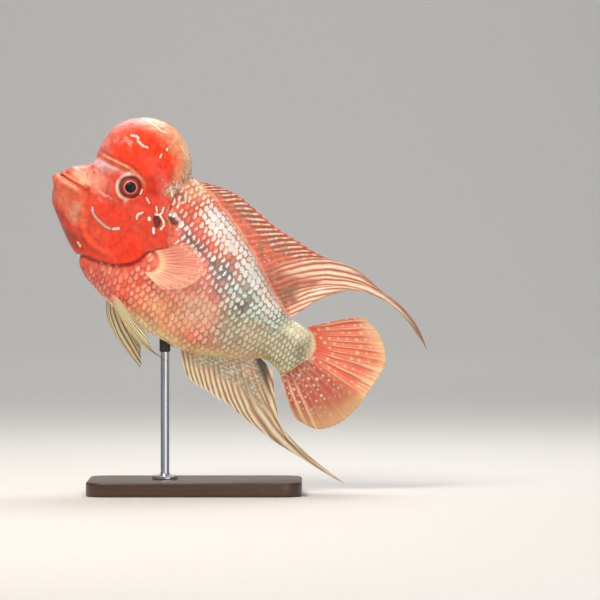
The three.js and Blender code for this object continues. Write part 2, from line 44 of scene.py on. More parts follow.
random = np.random.default_rng(11)
mm = 0.001


# Shared arithmetic
def linear(hexColour):
    # sRGB hex to linear light
    srgb = np.array([int(hexColour[i:i + 2], 16) for i in (1, 3, 5)]) / 255
    return np.where(srgb <= 0.04045, srgb / 12.92, ((srgb + 0.055) / 1.055) ** 2.4)


def rgba(hexColour):
    # the same with an alpha of 1, for a colour socket
    return (*linear(hexColour), 1)


def ramp(x, start, end):
    # rises smoothly from 0 at start to 1 at end; with start above end it falls with x instead
    t = np.clip((x - start) / (end - start), 0, 1)
    return t * t * (3 - 2 * t)


def bump(distance, reach):
    # a soft bump, 1 at distance 0
    return np.exp(-(distance / reach) ** 2)


def patch(s, h, middle, reach):
    # a soft oval bump in the side view
    return bump(np.hypot((s - middle[0]) / reach[0], (h - middle[1]) / reach[1]), 1)


def through(rows, t):
    # a Catmull-Rom curve through rows of numbers, read at t, which counts rows
    rows = np.asarray(rows, float)
    padded = np.vstack([2 * rows[0] - rows[1], rows, 2 * rows[-1] - rows[-2]])
    i = np.clip(np.floor(t).astype(int), 0, len(rows) - 2)
    f = (t - i)[..., None]
    a, b, c, d = (padded[i + n] for n in range(4))
    return 0.5 * (2 * b + (c - a) * f + (2 * a - 5 * b + 4 * c - d) * f ** 2
                  + (3 * b - a - 3 * c + d) * f ** 3)


def curve(rows, steps):
    # the same curve as a list of points
    return through(rows, np.arange((len(rows) - 1) * steps + 1) / steps)


def arcOf(points):
    # the length of a line of points up to each of them
    return np.concatenate([[0], np.cumsum(np.linalg.norm(np.diff(points, axis=0), axis=1))])


def distanceTo(line, s, h):
    # distance in the side view to a line of points: the least over its stretches
    least = np.full(np.shape(s), 1e9)
    for (s0, h0), (s1, h1) in zip(line[:-1], line[1:]):
        ds, dh = s1 - s0, h1 - h0
        f = np.clip(((s - s0) * ds + (h - h0) * dh) / (ds * ds + dh * dh), 0, 1)
        least = np.minimum(least, np.hypot(s - s0 - f * ds, h - h0 - f * dh))
    return least


def inside(outline, s, h):
    # True where a ray to the left crosses the outline an odd number of times
    odd = np.zeros(np.shape(s), bool)
    for (s0, h0), (s1, h1) in zip(outline, np.roll(outline, -1, axis=0)):
        if h0 != h1:
            odd ^= ((h0 > h) != (h1 > h)) & (s < (s1 - s0) * (h - h0) / (h1 - h0) + s0)
    return odd


def noise(points, size, seed=0):
    # a smooth random field from -1 to 1: scrambled whole numbers on a lattice, blended between its corners
    scaled = np.asarray(points, float) / size
    cell = np.floor(scaled).astype(np.int64)
    f = scaled - cell
    f = f * f * (3 - 2 * f)
    total = 0
    for corner in np.ndindex(2, 2, 2):
        x, y, z = (cell[..., n] + corner[n] for n in range(3))
        word = (x * 73856093) ^ (y * 19349663) ^ (z * 83492791) ^ (seed * 961748941)
        word = ((word ^ (word >> 13)) * 1274126177) & 0xffffffff
        value = ((word ^ (word >> 16)) & 0xffff) / 32767.5 - 1
        total = total + value * np.prod(np.where(corner, f, 1 - f), axis=-1)
    return total


pose = {"noseUp": 33, "snoutX": -100, "snoutZ": 216, "tailSwing": 9, "swingFrom": 80, "swingTo": 212}
pitch = math.radians(pose["noseUp"])


def place(points):
    # turns the side view by the pitch, and swings the tail aside by a parabola that ends as a straight line
    s, y, h = np.moveaxis(np.asarray(points, float), -1, 0)
    along = np.clip((s - pose["swingFrom"]) / (pose["swingTo"] - pose["swingFrom"]), 0, 2)
    swing = pose["tailSwing"] * np.where(s > pose["swingTo"], 2 * along - 1, along ** 2)
    x = pose["snoutX"] + s * math.cos(pitch) + h * math.sin(pitch)
    z = pose["snoutZ"] - s * math.sin(pitch) + h * math.cos(pitch)
    return np.stack([x, y + swing, z], -1) * mm


# Meshes and materials
def grid(rows, columns):
    return np.meshgrid(rows, columns, indexing="ij")


def tube(rows, around):
    # the faces of a grid closed round, and a fan at each end to the two points that follow the grid
    i, j = grid(np.arange(rows - 1) * around, np.arange(around))
    after = (j + 1) % around
    quads = np.stack([i + j, i + around + j, i + around + after, i + after], -1).reshape(-1, 4)
    ring = np.arange(around)
    after, last, ends = (ring + 1) % around, (rows - 1) * around, np.full(around, rows * around)
    return [quads, np.stack([ends, ring, after], -1), np.stack([ends + 1, last + after, last + ring], -1)]


def meshPiece(name, points, faces, material, attributes=None, maps=None, sharp=None):
    # points in metres; faces is a list of index arrays, one for each face size; maps hold a pair per corner
    mesh = bpy.data.meshes.new(name)
    mesh.from_pydata(points, [], [face for block in faces for face in block.tolist()])
    for key, values in (attributes or {}).items():
        width = 1 if values.ndim == 1 else values.shape[1]
        kinds = {1: ("FLOAT", "value"), 3: ("FLOAT_VECTOR", "vector"), 4: ("FLOAT_COLOR", "color")}
        kind, field = kinds[width]
        mesh.attributes.new(key, kind, "POINT").data.foreach_set(field, values.ravel())
    for key, corners in (maps or {}).items():
        mesh.uv_layers.new(name=key).uv.foreach_set("vector", corners.ravel())
    mesh.shade_smooth()
    if sharp:
        mesh.set_sharp_from_angle(angle=math.radians(sharp))
    mesh.materials.append(material)
    piece = bpy.data.objects.new(name, mesh)
    scene.collection.objects.link(piece)
    return piece


def colours(rgb, alpha=1.0):
    # linear colours with their alpha, one row for each point
    return np.concatenate([rgb, np.broadcast_to(alpha, rgb.shape[:-1])[..., None]], -1).reshape(-1, 4)


def painted(base, layers):
    # a base colour with each layer's colour laid over what is there, by its mask from 0 to 1
    colour = linear(base)
    for layer, mask in layers:
        over = linear(layer) if isinstance(layer, str) else layer
        colour = colour + (over - colour) * mask[..., None]
    return colour


def addNode(material, kind, settings=None, links=None):
    # one node with its settings, by property or by socket, and its links
    made = material.node_tree.nodes.new("ShaderNode" + kind)
    for key, value in (settings or {}).items():
        if isinstance(key, str) and hasattr(made, key):
            setattr(made, key, value)
        else:
            made.inputs[key].default_value = value
    for key, socket in (links or {}).items():
        material.node_tree.links.new(socket, made.inputs[key])
    return made.outputs


def newMaterial(name, settings):
    # a material with its shader's settings, and addNode for use on it alone
    material = bpy.data.materials.new(name)
    material.use_nodes = True
    for key, value in settings.items():
        material.node_tree.nodes["Principled BSDF"].inputs[key].default_value = value
    return material, functools.partial(addNode, material)


def feedShader(material, sockets):
    for key, socket in sockets.items():
        material.node_tree.links.new(socket, material.node_tree.nodes["Principled BSDF"].inputs[key])


def twoColours(first, second):
    # settings of a node that mixes two colours
    return {"data_type": "RGBA", 6: rgba(first), 7: rgba(second)}


# The camera looks level along +Y, as the photograph does, and takes in 420 mm at the fish's mid plane
view = {"centreX": 73.6, "centreZ": 135.5, "distance": 3200, "width": 420, "sensor": 36, "lift": 67}
cameraData = bpy.data.cameras.new("camera")
cameraData.sensor_width = view["sensor"]
cameraData.lens = view["sensor"] * math.hypot(view["distance"], view["lift"]) / view["width"]
camera = bpy.data.objects.new("camera", cameraData)
camera.location = np.array([view["centreX"], -view["distance"], view["centreZ"] + view["lift"]]) * mm
camera.rotation_euler = (math.pi / 2 - math.atan2(view["lift"], view["distance"]), 0, 0)
scene.collection.objects.link(camera)
scene.camera = camera


# The body's skin
body = {
    "roundness": 2.2,  # 2 makes each section an ellipse
    "coatDepth": 0.35,  # how far the skin lies inside the solids, for the scales
    "columns": 316,
    "crowding": 0.15,  # draws the columns together on the flanks
    "step": 0.02,  # step of the slopes that give the skin's normal
    # rows of the mesh to each station
    "rows": [10, 12, 16, 20, 18, 18, 18, 18, 18, 18, 18, 18, 18, 12, 9, 8, 8, 8, 8, 7, 7, 10],
    # where each station's plane meets the back line and the belly line
    "back": [
        (2.4, 9.8), (2.9, 13.6), (7.0, 18.6), (13.5, 25.8), (18.2, 31.2), (15.8, 36.2),
        (12.8, 47.0), (15.6, 61.2), (25.0, 73.0), (38.8, 79.8), (54.4, 79.4), (68.2, 72.6),
        (75.6, 64.6), (78.4, 59.4), (86.5, 57.2), (101.4, 53.4), (123.1, 45.7), (147.0, 34.9),
        (173.0, 19.9), (190.4, 12.7), (201.0, 12.9), (209.5, 10.4), (217.4, -4.6),
    ],
    "belly": [
        (2.4, 9.8), (-0.9, 6.4), (0.9, 0.2), (6.0, -9.6), (16.5, -17.6), (24.0, -22.8),
        (31.0, -27.0), (37.2, -29.2), (42.2, -30.8), (46.8, -37.0), (54.0, -41.2), (62.0, -43.7),
        (70.0, -45.8), (76.0, -47.0), (84.0, -48.5), (100.0, -50.0), (122.0, -49.6),
        (143.0, -46.9), (170.0, -35.2), (189.6, -22.4), (200.0, -22.6), (208.6, -22.6),
        (217.4, -4.6),
    ],
    # half widths at named places of the side view: s, h, half width, and the reach over which it counts
    "widths": [
        (2, 10, 8, 4), (9, 11, 13, 6), (22, 12, 17, 8),  # lips, corner of the mouth
        (15, 26, 12.5, 7), (10, -5, 12.5, 8),  # snout, chin
        (28, -15, 16.5, 9), (40, -26, 17, 8),  # jaw, throat
        (32, 26, 18.5, 8), (47, 28, 22.5, 8), (45, 6, 25, 12),  # in front of the eye, eye, cheek
        (72, 4, 27, 14), (62, -18, 24, 10),  # gill cover
        (20, 40, 19, 7), (42, 60, 31, 17), (66, 62, 27, 9), (86, 52, 21, 9),  # hump, nape
        (84, 28, 26.5, 14), (88, -38, 22, 12), (106, 0, 28, 20),  # flank
        (118, 36, 21, 14), (120, -38, 22, 14), (145, 0, 21, 18),
        (170, -5, 14, 16), (190, -5, 9, 12), (204, -5, 5.6, 7), (216, -5, 3.6, 5),  # tail root
    ],
}
lastStation = len(body["back"]) - 1
humpStations = (4, 14)


def fullness(s, h):
    # half width before the edge is rounded off: a mean of the named widths, weighted by nearness
    total, weight = 0, 1e-12
    for placeS, placeH, half, reach in body["widths"]:
        near = np.exp(-((s - placeS) ** 2 + (h - placeH) ** 2) / (2 * reach ** 2))
        total = total + half * near
        weight = weight + near
    return total / weight


def bareSkin(k, angle):
    # a rounded section on the chord of station k; angle runs round it, 0 at the belly and pi at the back
    top = through(body["back"], k)
    low = through(body["belly"], k)
    up = ((1 - np.cos(angle)) / 2)[..., None]
    chord = low + (top - low) * up
    edge = np.sqrt(np.maximum(0, 1 - np.abs(np.cos(angle)) ** body["roundness"]))
    y = np.sign(np.sin(angle)) * fullness(chord[..., 0], chord[..., 1]) * edge
    return np.stack([chord[..., 0], y, chord[..., 1]], -1)


def halfWidthAt(s, h):
    # the bare skin's half width over a place of the side view, from the nearest point of a fine grid
    k, angle = grid(np.linspace(0.1, lastStation - 0.1, 600), np.linspace(0.02, math.pi - 0.02, 300))
    points = bareSkin(k, angle)
    return points[..., 1].flat[np.hypot(points[..., 0] - s, points[..., 2] - h).argmin()]


# Lines of the face in the side view
face = {
    "eye": (47.9, 29.0),
    "nostril": (20.6, 23.2),
    "mouth": [(-6, 10.2), (2.4, 9.9), (9.3, 9.8), (17.1, 10.4), (24.1, 11.0)],
    "lipCrease": [(-2, 12.9), (2.2, 12.7), (7.1, 12.2), (13, 12.9), (18.2, 13.1), (22.7, 12.4)],
    "lipPad": [(8, 16.2), (13, 15.9), (18.5, 14.4)],
    "lipPadEdge": [(5, 19.9), (10, 19.8), (14.5, 18.4), (19.6, 15.6), (23.4, 11.8)],
    "underLip": [(-3, 0.4), (0.4, 1.5), (6.1, 2.5), (12.8, 3.3), (18.9, 3.8), (24.8, 4.4)],
    "jawFold": [(24.1, 11.0), (26.1, 6.8), (28.7, 1.2), (30.8, -5.1), (34.6, -10.6), (41, -14.4)],
    "jawRidge": [(26.3, 11.5), (28.4, 7), (31, 1.8), (33, -4)],
    "cheekFold": [(41, -14.4), (52.8, -16.4), (60.0, -12.5), (63.2, -3), (64.2, 8), (66.5, 17)],
    "chinFold": [(28, -6), (31.5, -13), (38, -19.2), (48, -22.4), (60, -20.5)],
    "gillEdge": [(78, 33), (80, 26.5), (86.4, 22), (90.4, 14.2), (92.9, 7.3), (86.4, 2.2), (81.4, -3.4),
                 (79, -11.4), (70, -20.7), (57, -26), (46.4, -28.2), (41, -31.4)],
    "humpFold": [(8, 31.6), (18.4, 32.6), (27.7, 34.7), (37.9, 36), (46.5, 37.6), (54, 36.4), (60, 34)],
    "humpCrease": [(11, 38.6), (18.4, 38.6), (24, 39.2), (32.4, 40.1), (40.9, 41), (47.8, 39.8), (55, 37.8)],
    "orbitFold": [(33, 24), (35.5, 18.5), (41, 14.8), (48, 14.4)],
    "neck": [(79.6, 110), (79.4, 60.4), (76, 45)],
}
gillLine = curve(face["gillEdge"], 4)
headOutline = np.vstack([curve(face["neck"] + face["gillEdge"], 4), [(38, -70), (-25, -70), (-25, 110)]])
humpTop = through(body["back"], np.linspace(*humpStations, 60))
folds = [
    # ridges and creases of the skin: line, height in millimetres and reach, then how far the line is moved
    # back and up, and where along s the fold comes in and goes out
    ("lipPad", 1.0, 2.6),
    ("lipCrease", -0.15, 0.8, (0, 0), (2, 7), (25, 21)),
    ("lipPadEdge", -0.5, 1.1, (0, 0), (8, 14)),
    ("underLip", -0.65, 1.6, (0, 0), (3, 10), (27, 18)),
    ("jawFold", -1.0, 1.2),
    ("jawRidge", 0.8, 1.3),
    ("chinFold", -1.0, 1.5),
    ("chinFold", 0.7, 2.2, (1.4, 2.8)),
    ("humpFold", 0.6, 2.4, (0, -3.4), None, (56, 42)),
    ("humpFold", -0.7, 1.5, (0, 0), (10, 20), (60, 44)),
    ("humpCrease", 0.45, 0.9, (0, -1.3), (13, 23), (60, 46)),
    ("humpCrease", -1.3, 1.2, (0, 0), (13, 23), (60, 46)),
]


def headDepth(s, h):
    # distance from the rear edge of the head: positive on the head, negative behind the gill cover
    edge = distanceTo(gillLine, s, h)
    return np.where(inside(headOutline, s, h), edge, -edge)


def toLine(name, s, h):
    # distance to one of the face's lines, drawn as a smooth curve
    return distanceTo(curve(face[name], 3), s, h)


def stroke(s, h, name, strength, reach, moved=(0, 0), comesIn=None, goesOut=None):
    # a soft stroke along one of the face's lines
    soft = strength * bump(toLine(name, s - moved[0], h - moved[1]), reach)
    for limits in (comesIn, goesOut):
        if limits:
            soft = soft * ramp(s, *limits)
    return soft


def aheadOf(ds, dh):
    # 1 straight ahead of the eye's middle, falling to 0 behind it
    return 0.5 - 0.5 * (0.98 * ds + 0.17 * dh) / np.maximum(np.hypot(ds, dh), 0.1)


def eyeView(s, h):
    # distance from the eye's middle, and how far a place lies ahead of it
    ds, dh = s - face["eye"][0], h - face["eye"][1]
    return np.hypot(ds, dh), aheadOf(ds, dh)


def overMouth(s, h):
    # height over the line of the mouth
    mouthLine = np.array(face["mouth"])
    return h - np.interp(s, mouthLine[:, 0], mouthLine[:, 1])


def rearOfHump(s, h):
    # 1 along the hump's top and rear edge, falling to 0 within it
    return ramp(distanceTo(humpTop, s, h), 9, 1) * ramp(s, 34, 58) * ramp(h, 46, 58)


def relief(points):
    # how far the skin stands out of the bare body, in millimetres: a sum of soft bumps
    s, _, h = np.moveaxis(points, -1, 0)
    over = overMouth(s, h)
    fromEye, ahead = eyeView(s, h)
    fromNostril = np.hypot(s - face["nostril"][0], h - face["nostril"][1])
    toCheek = toLine("cheekFold", s, h)
    depth = headDepth(s, h)
    onHump = ramp(h, 40, 48) * ramp(s, 84, 76)
    onHead = depth > 0
    lowerLip = 2.3 * bump(over + 4.2, 3.3) * ramp(s, 27, 18)
    upperLip = 0.7 * bump(over - 1.7, 1.3) * ramp(s, 25, 19)
    slit = -1.7 * bump(over, 0.7) * ramp(s, 25.5, 22.5)
    muzzle = 1.6 * patch(s, h, (6, 20), (9, 9))
    cheek = 0.6 * bump(toCheek - 2.2, 2.4) - 0.35 * bump(toCheek, 1.2)
    orbit = (0.6 + 1.5 * ahead) * bump(fromEye - 8.4 - ahead, 1.4) - 0.7 * bump(fromEye - 12.4, 1.3) * ahead
    socket = -4.4 * ramp(fromEye, 7.9, 6.0)
    nostril = 0.6 * bump(fromNostril - 1.5, 0.7) - 1.7 * bump(fromNostril, 0.8)
    gill = 1.5 * ramp(depth, -0.3, 0.7) * bump(np.maximum(depth, 0), 9) - 0.8 * bump(depth + 1.0, 0.9)
    finLobe = 1.8 * patch(s, h, (85, -8), (5, 6.5)) * ramp(-depth, 0, 2)
    cobble = 0.24 * noise(points, 8, 3) + 0.26 * noise(points, 3.6, 4)
    cobble = onHump * (cobble + rearOfHump(s, h) * 0.34 * noise(points * [1, 1, 0.7], 2.4, 5))
    wrinkles = 0.16 * noise(points * [0.6, 1, 1.4], 3.2, 8) * onHead * (1 - onHump)
    pores = 0.07 * noise(points, 1.8, 6) * onHead
    return (lowerLip + upperLip + slit + muzzle + cheek + orbit + socket + nostril + gill + finLobe
            + cobble + wrinkles + pores + sum(stroke(s, h, *fold) for fold in folds))


def skin(k, angle, grow):
    # the bare skin moved along its own normal by the relief and by grow
    step = body["step"]
    alongK = bareSkin(k + step, angle) - bareSkin(k - step, angle)
    roundK = bareSkin(k, angle + step) - bareSkin(k, angle - step)
    normal = np.cross(roundK, alongK)
    normal /= np.linalg.norm(normal, axis=-1, keepdims=True)
    bare = bareSkin(k, angle)
    return bare + normal * (relief(bare) + grow)[..., None]


# Markings, shared by the skin and the scales
zones = [
    # colour, middle, half lengths, and how much of it shows
    # the chin's downward side, here and in the next zone, is darker red as painted shade
    ("#a83e34", (15, -15), (10, 6), 0.9),  # chin
    ("#a83e34", (27, -22), (9, 5), 0.8),
    ("#bc7464", (5, -4), (7, 6), 0.85),
    ("#d06e56", (17, -4), (12, 7), 0.95),  # jaw
    ("#d88464", (27, -9), (9, 6), 0.85),
    ("#cf9a7e", (25, -5), (5, 8), 0.5),
    ("#ea9c86", (14, 20), (14, 6), 0.95),  # snout
    ("#e8907c", (27, 20), (10, 8), 0.9),
    # the forehead's lilac tint is partly a painted highlight
    ("#d4aeb0", (22, 31), (11, 4.5), 0.95),  # forehead
    ("#dc8c80", (37, 35), (9, 3), 0.8),
    ("#fcc29c", (14, 15.4), (9, 2.8), 0.9),  # pad over the upper lip
    ("#f4946e", (11, 11.4), (13, 1.7), 0.9),  # upper lip
    ("#f07c58", (10, 5.6), (16, 4.6), 0.9),  # lower lip
    # a painted highlight along the top of the lower lip
    ("#f8a890", (5, 8.4), (12, 1.7), 0.7),
    ("#9e3c30", (34, -25), (12, 6), 0.8),  # throat
    ("#c24c32", (39, 17), (9, 6), 0.7),  # under the eye
    ("#e2432c", (44, 5), (15, 10), 0.8),  # cheek
    ("#e05a40", (48, -11), (12, 5), 0.6),
    ("#f04024", (68, -9), (18, 12), 0.9),  # gill cover
    ("#fb4018", (46, 54), (26, 17), 0.95),  # hump
    ("#d0361a", (60, 37), (12, 7), 0.8),  # behind the eye
    ("#cc4a38", (58, -37), (14, 8), 0.85),  # chest
    ("#de5c44", (78, -38), (16, 10), 0.85),
    ("#f25430", (96, -26), (18, 14), 0.9),  # belly
    ("#f4906e", (118, -8), (28, 14), 0.95),
    ("#f4a070", (118, -32), (26, 13), 0.95),
    ("#f6b08c", (134, -18), (16, 12), 0.9),
    ("#f4cc88", (108, -49), (36, 6), 0.95),
]
marks = [
    # colour, half width, and the line of each pale mark
    ("#f3d0c0", 0.9, [(28.7, 59.7), (33.1, 61.2), (34.8, 58.7), (39.3, 58.0), (43.0, 58.6)]),  # hump
    ("#f2dcc0", 0.7, [(32.4, 74.2), (39.4, 74.3), (43.1, 73.5), (47.8, 74.4)]),
    ("#f0d6be", 0.85, [(54.2, 65.3), (55.2, 64.2)]),
    ("#ecd4b8", 0.75, [(53.4, 59.6), (53.9, 57.2)]),
    ("#f6c8b4", 0.6, [(63.2, 45.6), (63.5, 45.2)]),
    ("#e8b4b8", 1.05, [(33.2, 2.6), (34.6, 0.6)]),  # stripe of the cheek
    ("#bfa89a", 1.0, [(34.8, 0.4), (37.4, -1.4), (42.7, -2.6), (48.0, -3.3), (51.6, -3.0)]),
    ("#d8c2a4", 1.15, [(53.6, -1.8), (56.6, 0.6)]),
    ("#f2dcc8", 0.65, [(55.4, 31.8), (56.3, 28.8)]),  # behind the eye
    ("#f2dcc8", 0.6, [(61.3, 28.9), (65.0, 26.8)]),
    ("#ead6b4", 0.8, [(64.4, 18.8), (62.3, 15.8), (63.6, 12.9)]),
    ("#f2e0c8", 0.7, [(70.1, 27.3), (72.3, 25.2)]),  # round the dark spots
    ("#f2e0c8", 0.7, [(74.7, 29.9), (75.7, 26.9), (75.4, 24.0)]),
    ("#e4e8d0", 1.35, [(70.5, 18.2), (71.2, 17.5)]),
    ("#ece4cc", 0.8, [(72.6, 22.8), (75.4, 24.0), (79.4, 22.1), (81.9, 19.6), (81.4, 16.1)]),
    ("#f4eee0", 0.95, [(76.6, 13.9), (78.7, 11.3)]),
    ("#efe2cc", 0.75, [(80.5, 27.3), (83.0, 29.4), (87.4, 28.6)]),
    ("#efe2cc", 0.8, [(89.8, 27.2), (91.6, 24.6), (90.6, 21.6)]),
    ("#efe2cc", 1.0, [(73.2, 42.6), (75.4, 39.6)]),  # nape
    ("#efe2cc", 0.8, [(80.6, 42.4), (80.2, 39.9), (82.8, 38.0)]),
    ("#efe2cc", 0.7, [(78.0, 38.9), (79.6, 35.6)]),
    ("#e9dcc4", 0.65, [(75.0, 48.6), (76.2, 46.8)]),
    ("#e9dcc4", 0.65, [(83.2, 44.8), (84.8, 42.2)]),
    ("#e9dcc4", 0.6, [(78.8, 50.6), (79.8, 48.4)]),
    ("#e0b888", 1.0, [(37.6, -23.6), (40.2, -24.8)]),  # throat
]
# painted shade darkens the creases of the face, and the last stroke is a painted highlight along the ridge
# above the chin fold
foldShadeAndHighlight = [
    # colour, line, strength and reach, how far it is moved back and up, and where it comes in and goes out
    ("#a03a2c", "orbitFold", 0.4, 1.4),
    ("#d8744c", "lipCrease", 0.35, 0.9, (0, 0), (2, 8), (25, 21)),
    ("#cc5a3c", "underLip", 0.5, 1.4, (0, 0), (3, 9), (26, 18)),
    ("#c84a34", "jawFold", 0.5, 1.0),
    ("#c03c2c", "cheekFold", 0.2, 1.6),
    ("#a83424", "chinFold", 0.5, 1.3),
    # bright orange along the ridge above the chin fold: the gill cover's own orange, brightened as a painted
    # highlight
    ("#ff6236", "chinFold", 0.6, 2.2, (1.6, 3.2)),
]
flank = {
    "flowerRow": [(84.8, 27.8), (98.4, 21.4), (114.7, 17.9), (130.5, 15.2), (142.4, 7.7), (155.4, 2.1)],
    "pearlBand": [(107, 44.6), (112, 43.2), (126.9, 38.7), (143.7, 30.9), (159.5, 24.7), (173.6, 17.5)],
    "nape": [(73.4, 43.5), (76.0, 48), (78.2, 54), (78.0, 60)],
    "bandReach": 9.5,
    "markShare": 0.84,  # of a mark's half width that is drawn, for its outline wanders outwards
}


def upperShare(s, h):
    # 0 on the belly line and 1 on the back line, from their heights at s, behind the head
    back = np.array([row for row in body["back"] if row[0] > 79])
    belly = np.array([row for row in body["belly"] if row[0] > 70])
    low = np.interp(s, belly[:, 0], belly[:, 1])
    high = np.interp(s, back[:, 0], back[:, 1])
    return np.clip((h - low) / np.maximum(high - low, 1), 0, 1)


def markField(points):
    # how far each point lies outside the nearest pale mark, in millimetres, and that mark's colour
    s, y, h = np.moveaxis(points, -1, 0)
    right = y > 0
    markS = np.where(right, s + 2.5 * np.sin(h / 8), s)
    markH = np.where(right, h + 2.0 * np.sin(s / 7), h)
    least = np.full(s.shape, 9.0)
    colour = np.tile(linear("#f2dcc8"), s.shape + (1,))
    for hexColour, half, line in marks:
        off = distanceTo(line, markS, markH) - flank["markShare"] * half
        colour[off < least] = linear(hexColour)
        least = np.minimum(least, off)
    return least, colour


def ropes(points):
    # where the hump's rear edge and the nape are drawn into fine cream ropes, from 0 to 1
    s, _, h = np.moveaxis(points, -1, 0)
    rim = rearOfHump(s, h) * ramp(s, 62, 74)
    nape = bump(distanceTo(flank["nape"], s, h) + 1.2 * noise(points, 2.6, 24), 4.6)
    return np.clip(np.maximum(0.55 * rim, nape), 0, 1)


def markings(points, withMarks=True):
    # linear colours: broad zones over red, then the flank, hump and face, and the pale marks if wanted
    s, _, h = np.moveaxis(points, -1, 0)
    wander = 2.5 * noise(points, 14, 21)
    fine = noise(points, 2.6, 24)
    depth = headDepth(s, h)
    behind = ramp(-depth, 0, 1.5)
    layers = [("#ec6c52", behind)]
    for hexColour, (middleS, middleH), (halfS, halfH), strength in zones:
        off = np.hypot((s - middleS + wander) / halfS, (h - middleH) / halfH)
        layers.append((hexColour, strength * ramp(off, 1.3, 0.4)))
    # the flank: olive to the rear, the pale band under the back, the dark row, and the tail root
    share = upperShare(s, h)
    upper = ramp(share, 0.4, 0.7)
    rear = behind * ramp(s + 0.22 * h + wander, 134 + 8 * upper, 156 + 10 * upper)
    toBand, toRow, toNape = (distanceTo(flank[name], s, h) for name in ("pearlBand", "flowerRow", "nape"))
    wide = 1 + 0.9 * ramp(s, 118, 140)
    dark = bump(toRow / wide + 0.6 * wander, 5) * (0.3 + 0.7 * ramp(noise(points, 3.4, 27), -0.3, 0.4))
    tail = ramp(s, 184, 198)
    layers += [
        ("#ae9a78", rear),
        ("#8c8e7c", rear * ramp(share, 0.45, 0.75)),
        ("#eeb28c", 0.7 * rear * ramp(share, 0.25, 0.05)),
        ("#d8846a", 0.4 * rear * ramp(noise(points, 4.2, 26), -0.1, 0.35) * ramp(s, 190, 160)),
        ("#e8906c", 0.9 * behind * bump(toBand, flank["bandReach"]) * (1 - 0.25 * rear) * ramp(s, 98, 112)),
        ("#a09880", 0.75 * behind * ramp(s, 112, 134) * bump(toRow, 5.5 * wide)),
        ("#64584e", 0.85 * behind * dark),
        ("#a89a76", tail),
        ("#f2e2bc", tail * ramp(share, 0.6, 0.8)),
        ("#7a6e46", 0.8 * patch(s, h, (210, 2), (4.5, 7))),
        ("#e2c890", 0.9 * ramp(s + 0.1 * h, 213.5, 216)),
        ("#eccc88", 0.8 * behind * ramp(share, 0.14, 0.02) * ramp(s, 88, 104)),
        ("#a06c50", 0.7 * bump(toNape + 0.8 * fine, 4.4) * ramp(h, 58, 50)),
        ("#6e4a3c", 0.75 * bump(np.hypot((s - 80.5) / 5.5, (h - 42) / 4.5) + 0.2 * fine, 0.8)),
        ("#f09c74", 0.8 * patch(s, h, (85, 57), (7, 4))),
    ]
    # the hump's pale front and top, partly a painted highlight, its cobbled cream back, and the roll of skin
    # in front of it, with painted shade and a painted highlight at the crease
    toBack = distanceTo(humpTop, s, h)
    above = ramp(h, 34, 42)
    cobbled = rearOfHump(s, h)
    crease = toLine("humpCrease", s, h)
    roll = (ramp(crease, 5.5, 3.5) * ramp(toLine("humpFold", s, h), 6.5, 4.5)
            * ramp(s, 12, 20) * ramp(s, 60, 50))
    layers += [
        # paler and pinker over the front and top, partly a painted highlight from above, with a painted
        # highlight along the top edge
        ("#e48c84", 0.85 * above * ramp(toBack + fine, 12, 1) * ramp(s, 56, 34)),
        ("#e0b2a8", 0.8 * above * ramp(toBack, 4, 0) * ramp(s, 60, 40)),
        ("#f6b48c", 0.9 * ramp(h, 60, 72) * ramp(s, 26, 36) * ramp(toBack + wander, 13, 2)),
        ("#f9a67c", 0.95 * ramp(toBack + 3 * fine + wander, 17, 6) * ramp(s, 40, 60) * ramp(h, 40, 50)),
        ("#fcd4a8", 0.9 * ramp(cobbled + 0.3 * fine, 0.4, 0.8) * ramp(s, 50, 66)),
        ("#c83620", 0.4 * above * (1 - cobbled) * ramp(noise(points * [1.3, 1, 0.5], 3, 25), 0.1, 0.6)
         * ramp(s, 40, 56) * ramp(toBack, 6, 15)),
        ("#c8684a", 0.75 * roll * (toLine("humpCrease", s, h + 1) < crease)),
        # painted shade under the front end of the hump's overhang
        ("#a83430", 0.6 * patch(s, h, (17, 39.4), (6, 2.6))),
        # a painted highlight on the small ridge under the crease, then painted shade in the crease
        ("#f4c89c", stroke(s, h + 0.4 * fine, "humpCrease", 0.7, 0.6, (0, -1.2), (17, 24), (58, 48))),
        ("#b84030", stroke(s, h, "humpCrease", 0.35, 0.8, (0, 0), (14, 20), (56, 46))),
    ]
    # two dark spots, the pale marks round them, and a pale blotch on the hump
    spot = np.minimum(np.hypot((s - 76.2 + 0.4 * (h - 19)) / 2.9, (h - 19.2) / 4.2),
                      np.hypot((s - 84.6 - 0.5 * (h - 25.4)) / 4.6, (h - 25.4) / 2.6))
    off, markColour = markField(points)
    layers += [
        ("#54302a", ramp(spot + 0.12 * fine, 1.25, 0.75)),
        ("#9c3c2c", 0.8 * bump(spot, 0.5)),
        (markColour, withMarks * ramp(off + 0.2 * fine, 0.4, -0.3)),
        ("#f0b4a8", 0.75 * patch(s, h, (22.3, 52.8), (3.8, 3)) * ramp(fine, -0.5, 0.5)),
    ]
    # the orbit's pale ring, thick in front and gone behind, and painted shade at its inner edge, where the
    # skin turns down into the socket
    fromEye, ahead = eyeView(s, h)
    reach = 8.8 + 2.7 * ramp(ahead, 0.3, 0.95)
    uneven = 0.25 * noise(points, 3, 28)
    pale = ramp(ahead, 0.28, 0.5) * ramp(fromEye + 2 * uneven, reach, reach - 1.6)
    layers += [
        ("#eccac8", pale * (0.95 - uneven)),
        ("#e8bc98", 0.8 * pale * ramp(h, 28, 20)),
        ("#f0d0cc", 0.8 * patch(s, h, (50, 19.6), (1.5, 1.5))),
        ("#6c5240", 0.8 * bump(fromEye - 7.9, 0.7) * ramp(ahead, 0.25, 0.6)),
        ("#9c4a38", 0.6 * ramp(fromEye, 8.5, 7.5) * ramp(ahead, 0.6, 0.15)),
    ]
